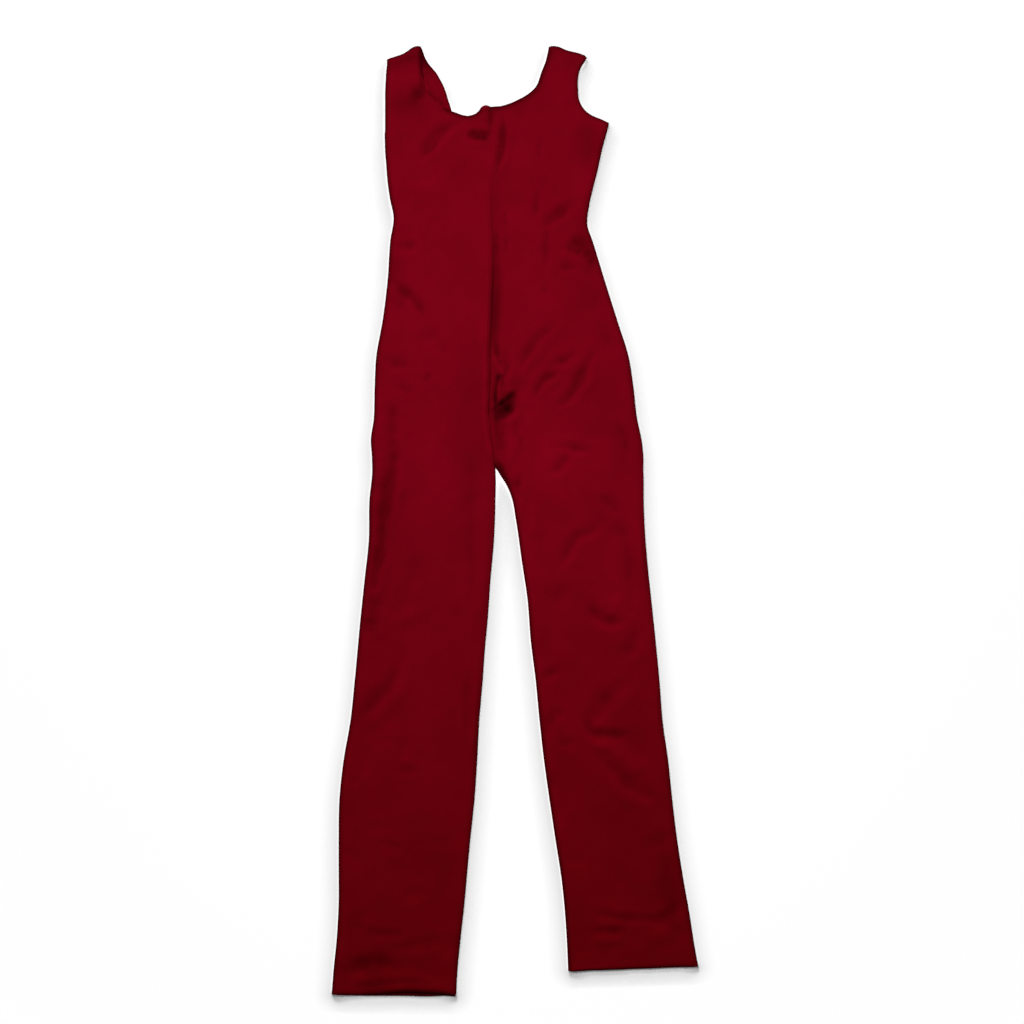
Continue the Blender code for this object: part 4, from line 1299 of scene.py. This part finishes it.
def layStitches(name, rows):
    # rows: panel name and plan path
    points, faces = [], []
    size = np.array([stitch[k] for k in ("length", "width", "thick")])
    for nodeName, path in rows:
        back = panels[nodeName]["up"] < 0
        total = lengthsAlong(path)[-1]
        at = np.arange(stitch["gap"] / 2, total - stitch["gap"] / 2, stitch["gap"])
        spots = smoothPath(path, at)
        ways = smoothPath(path, np.minimum(at + 0.4 * mm, total)) - spots
        for spot, way in zip(spots, ways):
            hit = surfaceAt(nodeName, *spot)
            if hit is None:
                continue
            place, normal = hit
            if (normal.z > 0) == back:
                normal = -normal
            along = Vector((*way, 0))
            along = (along - normal * along.dot(normal)).normalized()
            centre = np.array(place + normal * stitch["proud"])
            if back:
                centre[2] = max(centre[2], 0.16 * mm)
            start = len(points) * len(stitchPoints)
            turn = np.array((along, normal.cross(along), normal))
            points.append(stitchPoints * size @ turn + centre)
            faces += [tuple(start + v for v in face) for face in stitchFaces]
    mesh = bpy.data.meshes.new(name)
    mesh.from_pydata(np.concatenate(points).tolist(), [], faces)
    mesh.materials.append(spunThread)
    row = putObject(name, mesh)
    selectOnly(row)
    bpy.ops.object.mode_set(mode="EDIT")
    bpy.ops.mesh.select_all(action="SELECT")
    bpy.ops.mesh.normals_make_consistent(inside=False)
    bpy.ops.object.mode_set(mode="OBJECT")
    bpy.ops.object.shade_smooth()
    row.select_set(False)
    return row


def insetPath(path, way, far):
    return path + inwardOf(path) * way * far


neckRows = [(name, insetPath(necks[name], -panels[name]["side"], hems["neckRow"])) for name in panels]
threads = [layStitches("neckStitches", neckRows)]
for side, way in (("right", -1), ("left", 1)):
    names = ("front_" + side, "back_" + side)
    armRows = [(name, insetPath(arms[name], way, hems["armholeRow"])) for name in names]
    threads.append(layStitches(pieceName("armhole_stitches_" + side), armRows))
    ankleRows = [
        (name, atAnkle(panels[name], np.linspace(0.03, 0.97, 40), [row])[0][:, :2])
        for name in names for row in hems["ankleRows"]
    ]
    threads.append(layStitches(pieceName("ankle_stitches_" + side), ankleRows))
print("stitches laid:", sum(len(row.data.polygons) for row in threads), "faces")


# area lamps: place, aim, width and height, power
lamps = {
    "softbox": ((-0.08, 0.32, 1.12), (-0.03, 0.32, 0.0), (0.8, 0.8), 9.3),
    "window": ((-1.1, 4.3, 2.9), (0.0, 0.0, 0.0), (2.0, 1.2), 135),
}
for name, (place, aim, size, power) in lamps.items():
    light = bpy.data.lights.new(name, "AREA")
    light.shape = "RECTANGLE"
    light.size, light.size_y = size
    light.energy = power
    lamp = putObject(name, light)
    lamp.location = place
    lamp.rotation_euler = (Vector(aim) - Vector(place)).to_track_quat("-Z", "Y").to_euler()
world = bpy.data.worlds.new("room")
bpy.context.scene.world = world
world.use_nodes = True
room = world.node_tree
seen = addNode(room, "LightPath").outputs["Is Camera Ray"]
level = addNode(room, "MapRange", {"Value": seen, "To Min": 0.09, "To Max": 0.95})
room.nodes["Background"].inputs["Color"].default_value = (1, 1, 1, 1)
room.links.new(level.outputs["Result"], room.nodes["Background"].inputs["Strength"])

tableLook = {
    "middle": (0.11, -0.40),  # less these, the place where the lamps shine strongest
    "falloff": (0.68, 0.78),  # evened out this much across and along
    "tone": (1.006, 3.2),  # in the middle, and at most
    # painted shadow on the table round the cloth: how far the occlusion looks, and how strong its soft
    # part and its part below a hem are
    "shadowReach": 0.028,
    "softShadow": 0.43,
    "hemShadow": 0.88,
    # where more than this is blocked, the table is painted lighter this fast to ease off the cloth's true
    # shadow: all round, and beside a hem
    "eased": ((0.25, 3.0), (0.25, 5.0)),
    "bounced": 0.20,  # what the cloth sees of it
}


def tableFinish(look):
    # pale matte table: evened out along its length, giving back less light than it shows, with a painted
    # contact shadow round the cloth
    material, tree = newMaterial("paleTable")
    calc = mathsIn(tree)
    tree.nodes.remove(tree.nodes["Principled BSDF"])
    shader = addNode(tree, "BsdfDiffuse")
    tree.links.new(shader.outputs[0], tree.nodes["Material Output"].inputs["Surface"])
    place = addNode(tree, "TexCoord").outputs["Object"]
    split = addNode(tree, "SeparateXYZ", {0: place}).outputs
    parts = []
    for k in (0, 1):
        away = calc("POWER", calc("ADD", split[k], look["middle"][k]), 2.0)
        parts.append(calc("MULTIPLY", away, look["falloff"][k]))
    middle, most = look["tone"]
    capped = calc("MINIMUM", calc("ADD", calc("ADD", *parts), middle), most)
    # painted contact shadow: two occlusion nodes darken the table's colour near the cloth, most below a
    # hem
    reach = {"Distance": look["shadowReach"]}
    near = addNode(tree, "AmbientOcclusion", reach, samples=14).outputs["AO"]
    # this one leans to the neck end, where the light comes from
    toward = addNode(tree, "CombineXYZ", {"Y": 0.9, "Z": 0.44}).outputs[0]
    below = addNode(tree, "AmbientOcclusion", {**reach, "Normal": toward}, samples=14).outputs["AO"]
    around, leaning = calc("SUBTRACT", 1.0, near), calc("SUBTRACT", 1.0, below)
    uneven = calc("MAXIMUM", calc("SUBTRACT", leaning, calc("MULTIPLY", around, 0.9)), 0.0)
    oneSided = calc("MULTIPLY", uneven, look["hemShadow"])
    soft = calc("MULTIPLY", calc("POWER", leaning, 0.5), look["softShadow"])
    contact = calc("SUBTRACT", 1.0, calc("ADD", soft, oneSided))
    atHem = calc("MINIMUM", calc("MULTIPLY", uneven, 6.0), 1.0)
    for (start, fast), blocked, share in zip(look["eased"], (around, leaning), (1.0, atHem)):
        lift = calc("MULTIPLY", calc("SUBTRACT", blocked, start), fast)
        lift = calc("MAXIMUM", calc("MINIMUM", lift, 0.8), 0.0)
        contact = calc("ADD", contact, calc("MULTIPLY", lift, share))
    shown = calc("MULTIPLY", capped, contact)
    seen = addNode(tree, "LightPath").outputs["Is Camera Ray"]
    level = addNode(tree, "Mix", {"A": look["bounced"], "B": shown, "Factor": seen}).outputs["Result"]
    tone = addNode(tree, "CombineColor", {"Red": level, "Green": level, "Blue": level})
    tree.links.new(tone.outputs[0], shader.inputs["Color"])
    return material


bpy.ops.mesh.primitive_plane_add(size=14, location=(0, 0, -0.0002))
table = bpy.context.object
table.name = "table"
table.data.materials.append(tableFinish(tableLook))
table.select_set(False)

lens = bpy.data.cameras.new("overhead")
lens.lens = 50
lens.sensor_width = 36
camera = putObject("overhead", lens)
camera.location = (-0.0042, 0.0132, 2.036)
bpy.context.scene.camera = camera
print("table, lights and camera set")

# flat width, length and area of the cloth that shows, in metres
flatSizes = {
    "front_right": (0.236, 1.36, 0.2226), "front_left": (0.300, 1.33, 0.2251),
    "back_right": (0.236, 1.36, 0.2218), "back_left": (0.300, 1.33, 0.2195),
    "neck_hem": (0.010, 0.56, 0.0045), "armhole_hem_right": (0.010, 0.225, 0.00147),
    "armhole_hem_left": (0.010, 0.235, 0.00147), "ankle_hem_right": (0.020, 0.352, 0.0069),
    "ankle_hem_left": (0.020, 0.372, 0.0074),
}
for nodeName, piece in pieces.items():
    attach(piece, "root")
    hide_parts(nodeName)
    "hem" if "hem" in nodeName else "jersey"
    width, length, area = flatSizes[nodeName]
for row in threads:
    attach(row, "root")
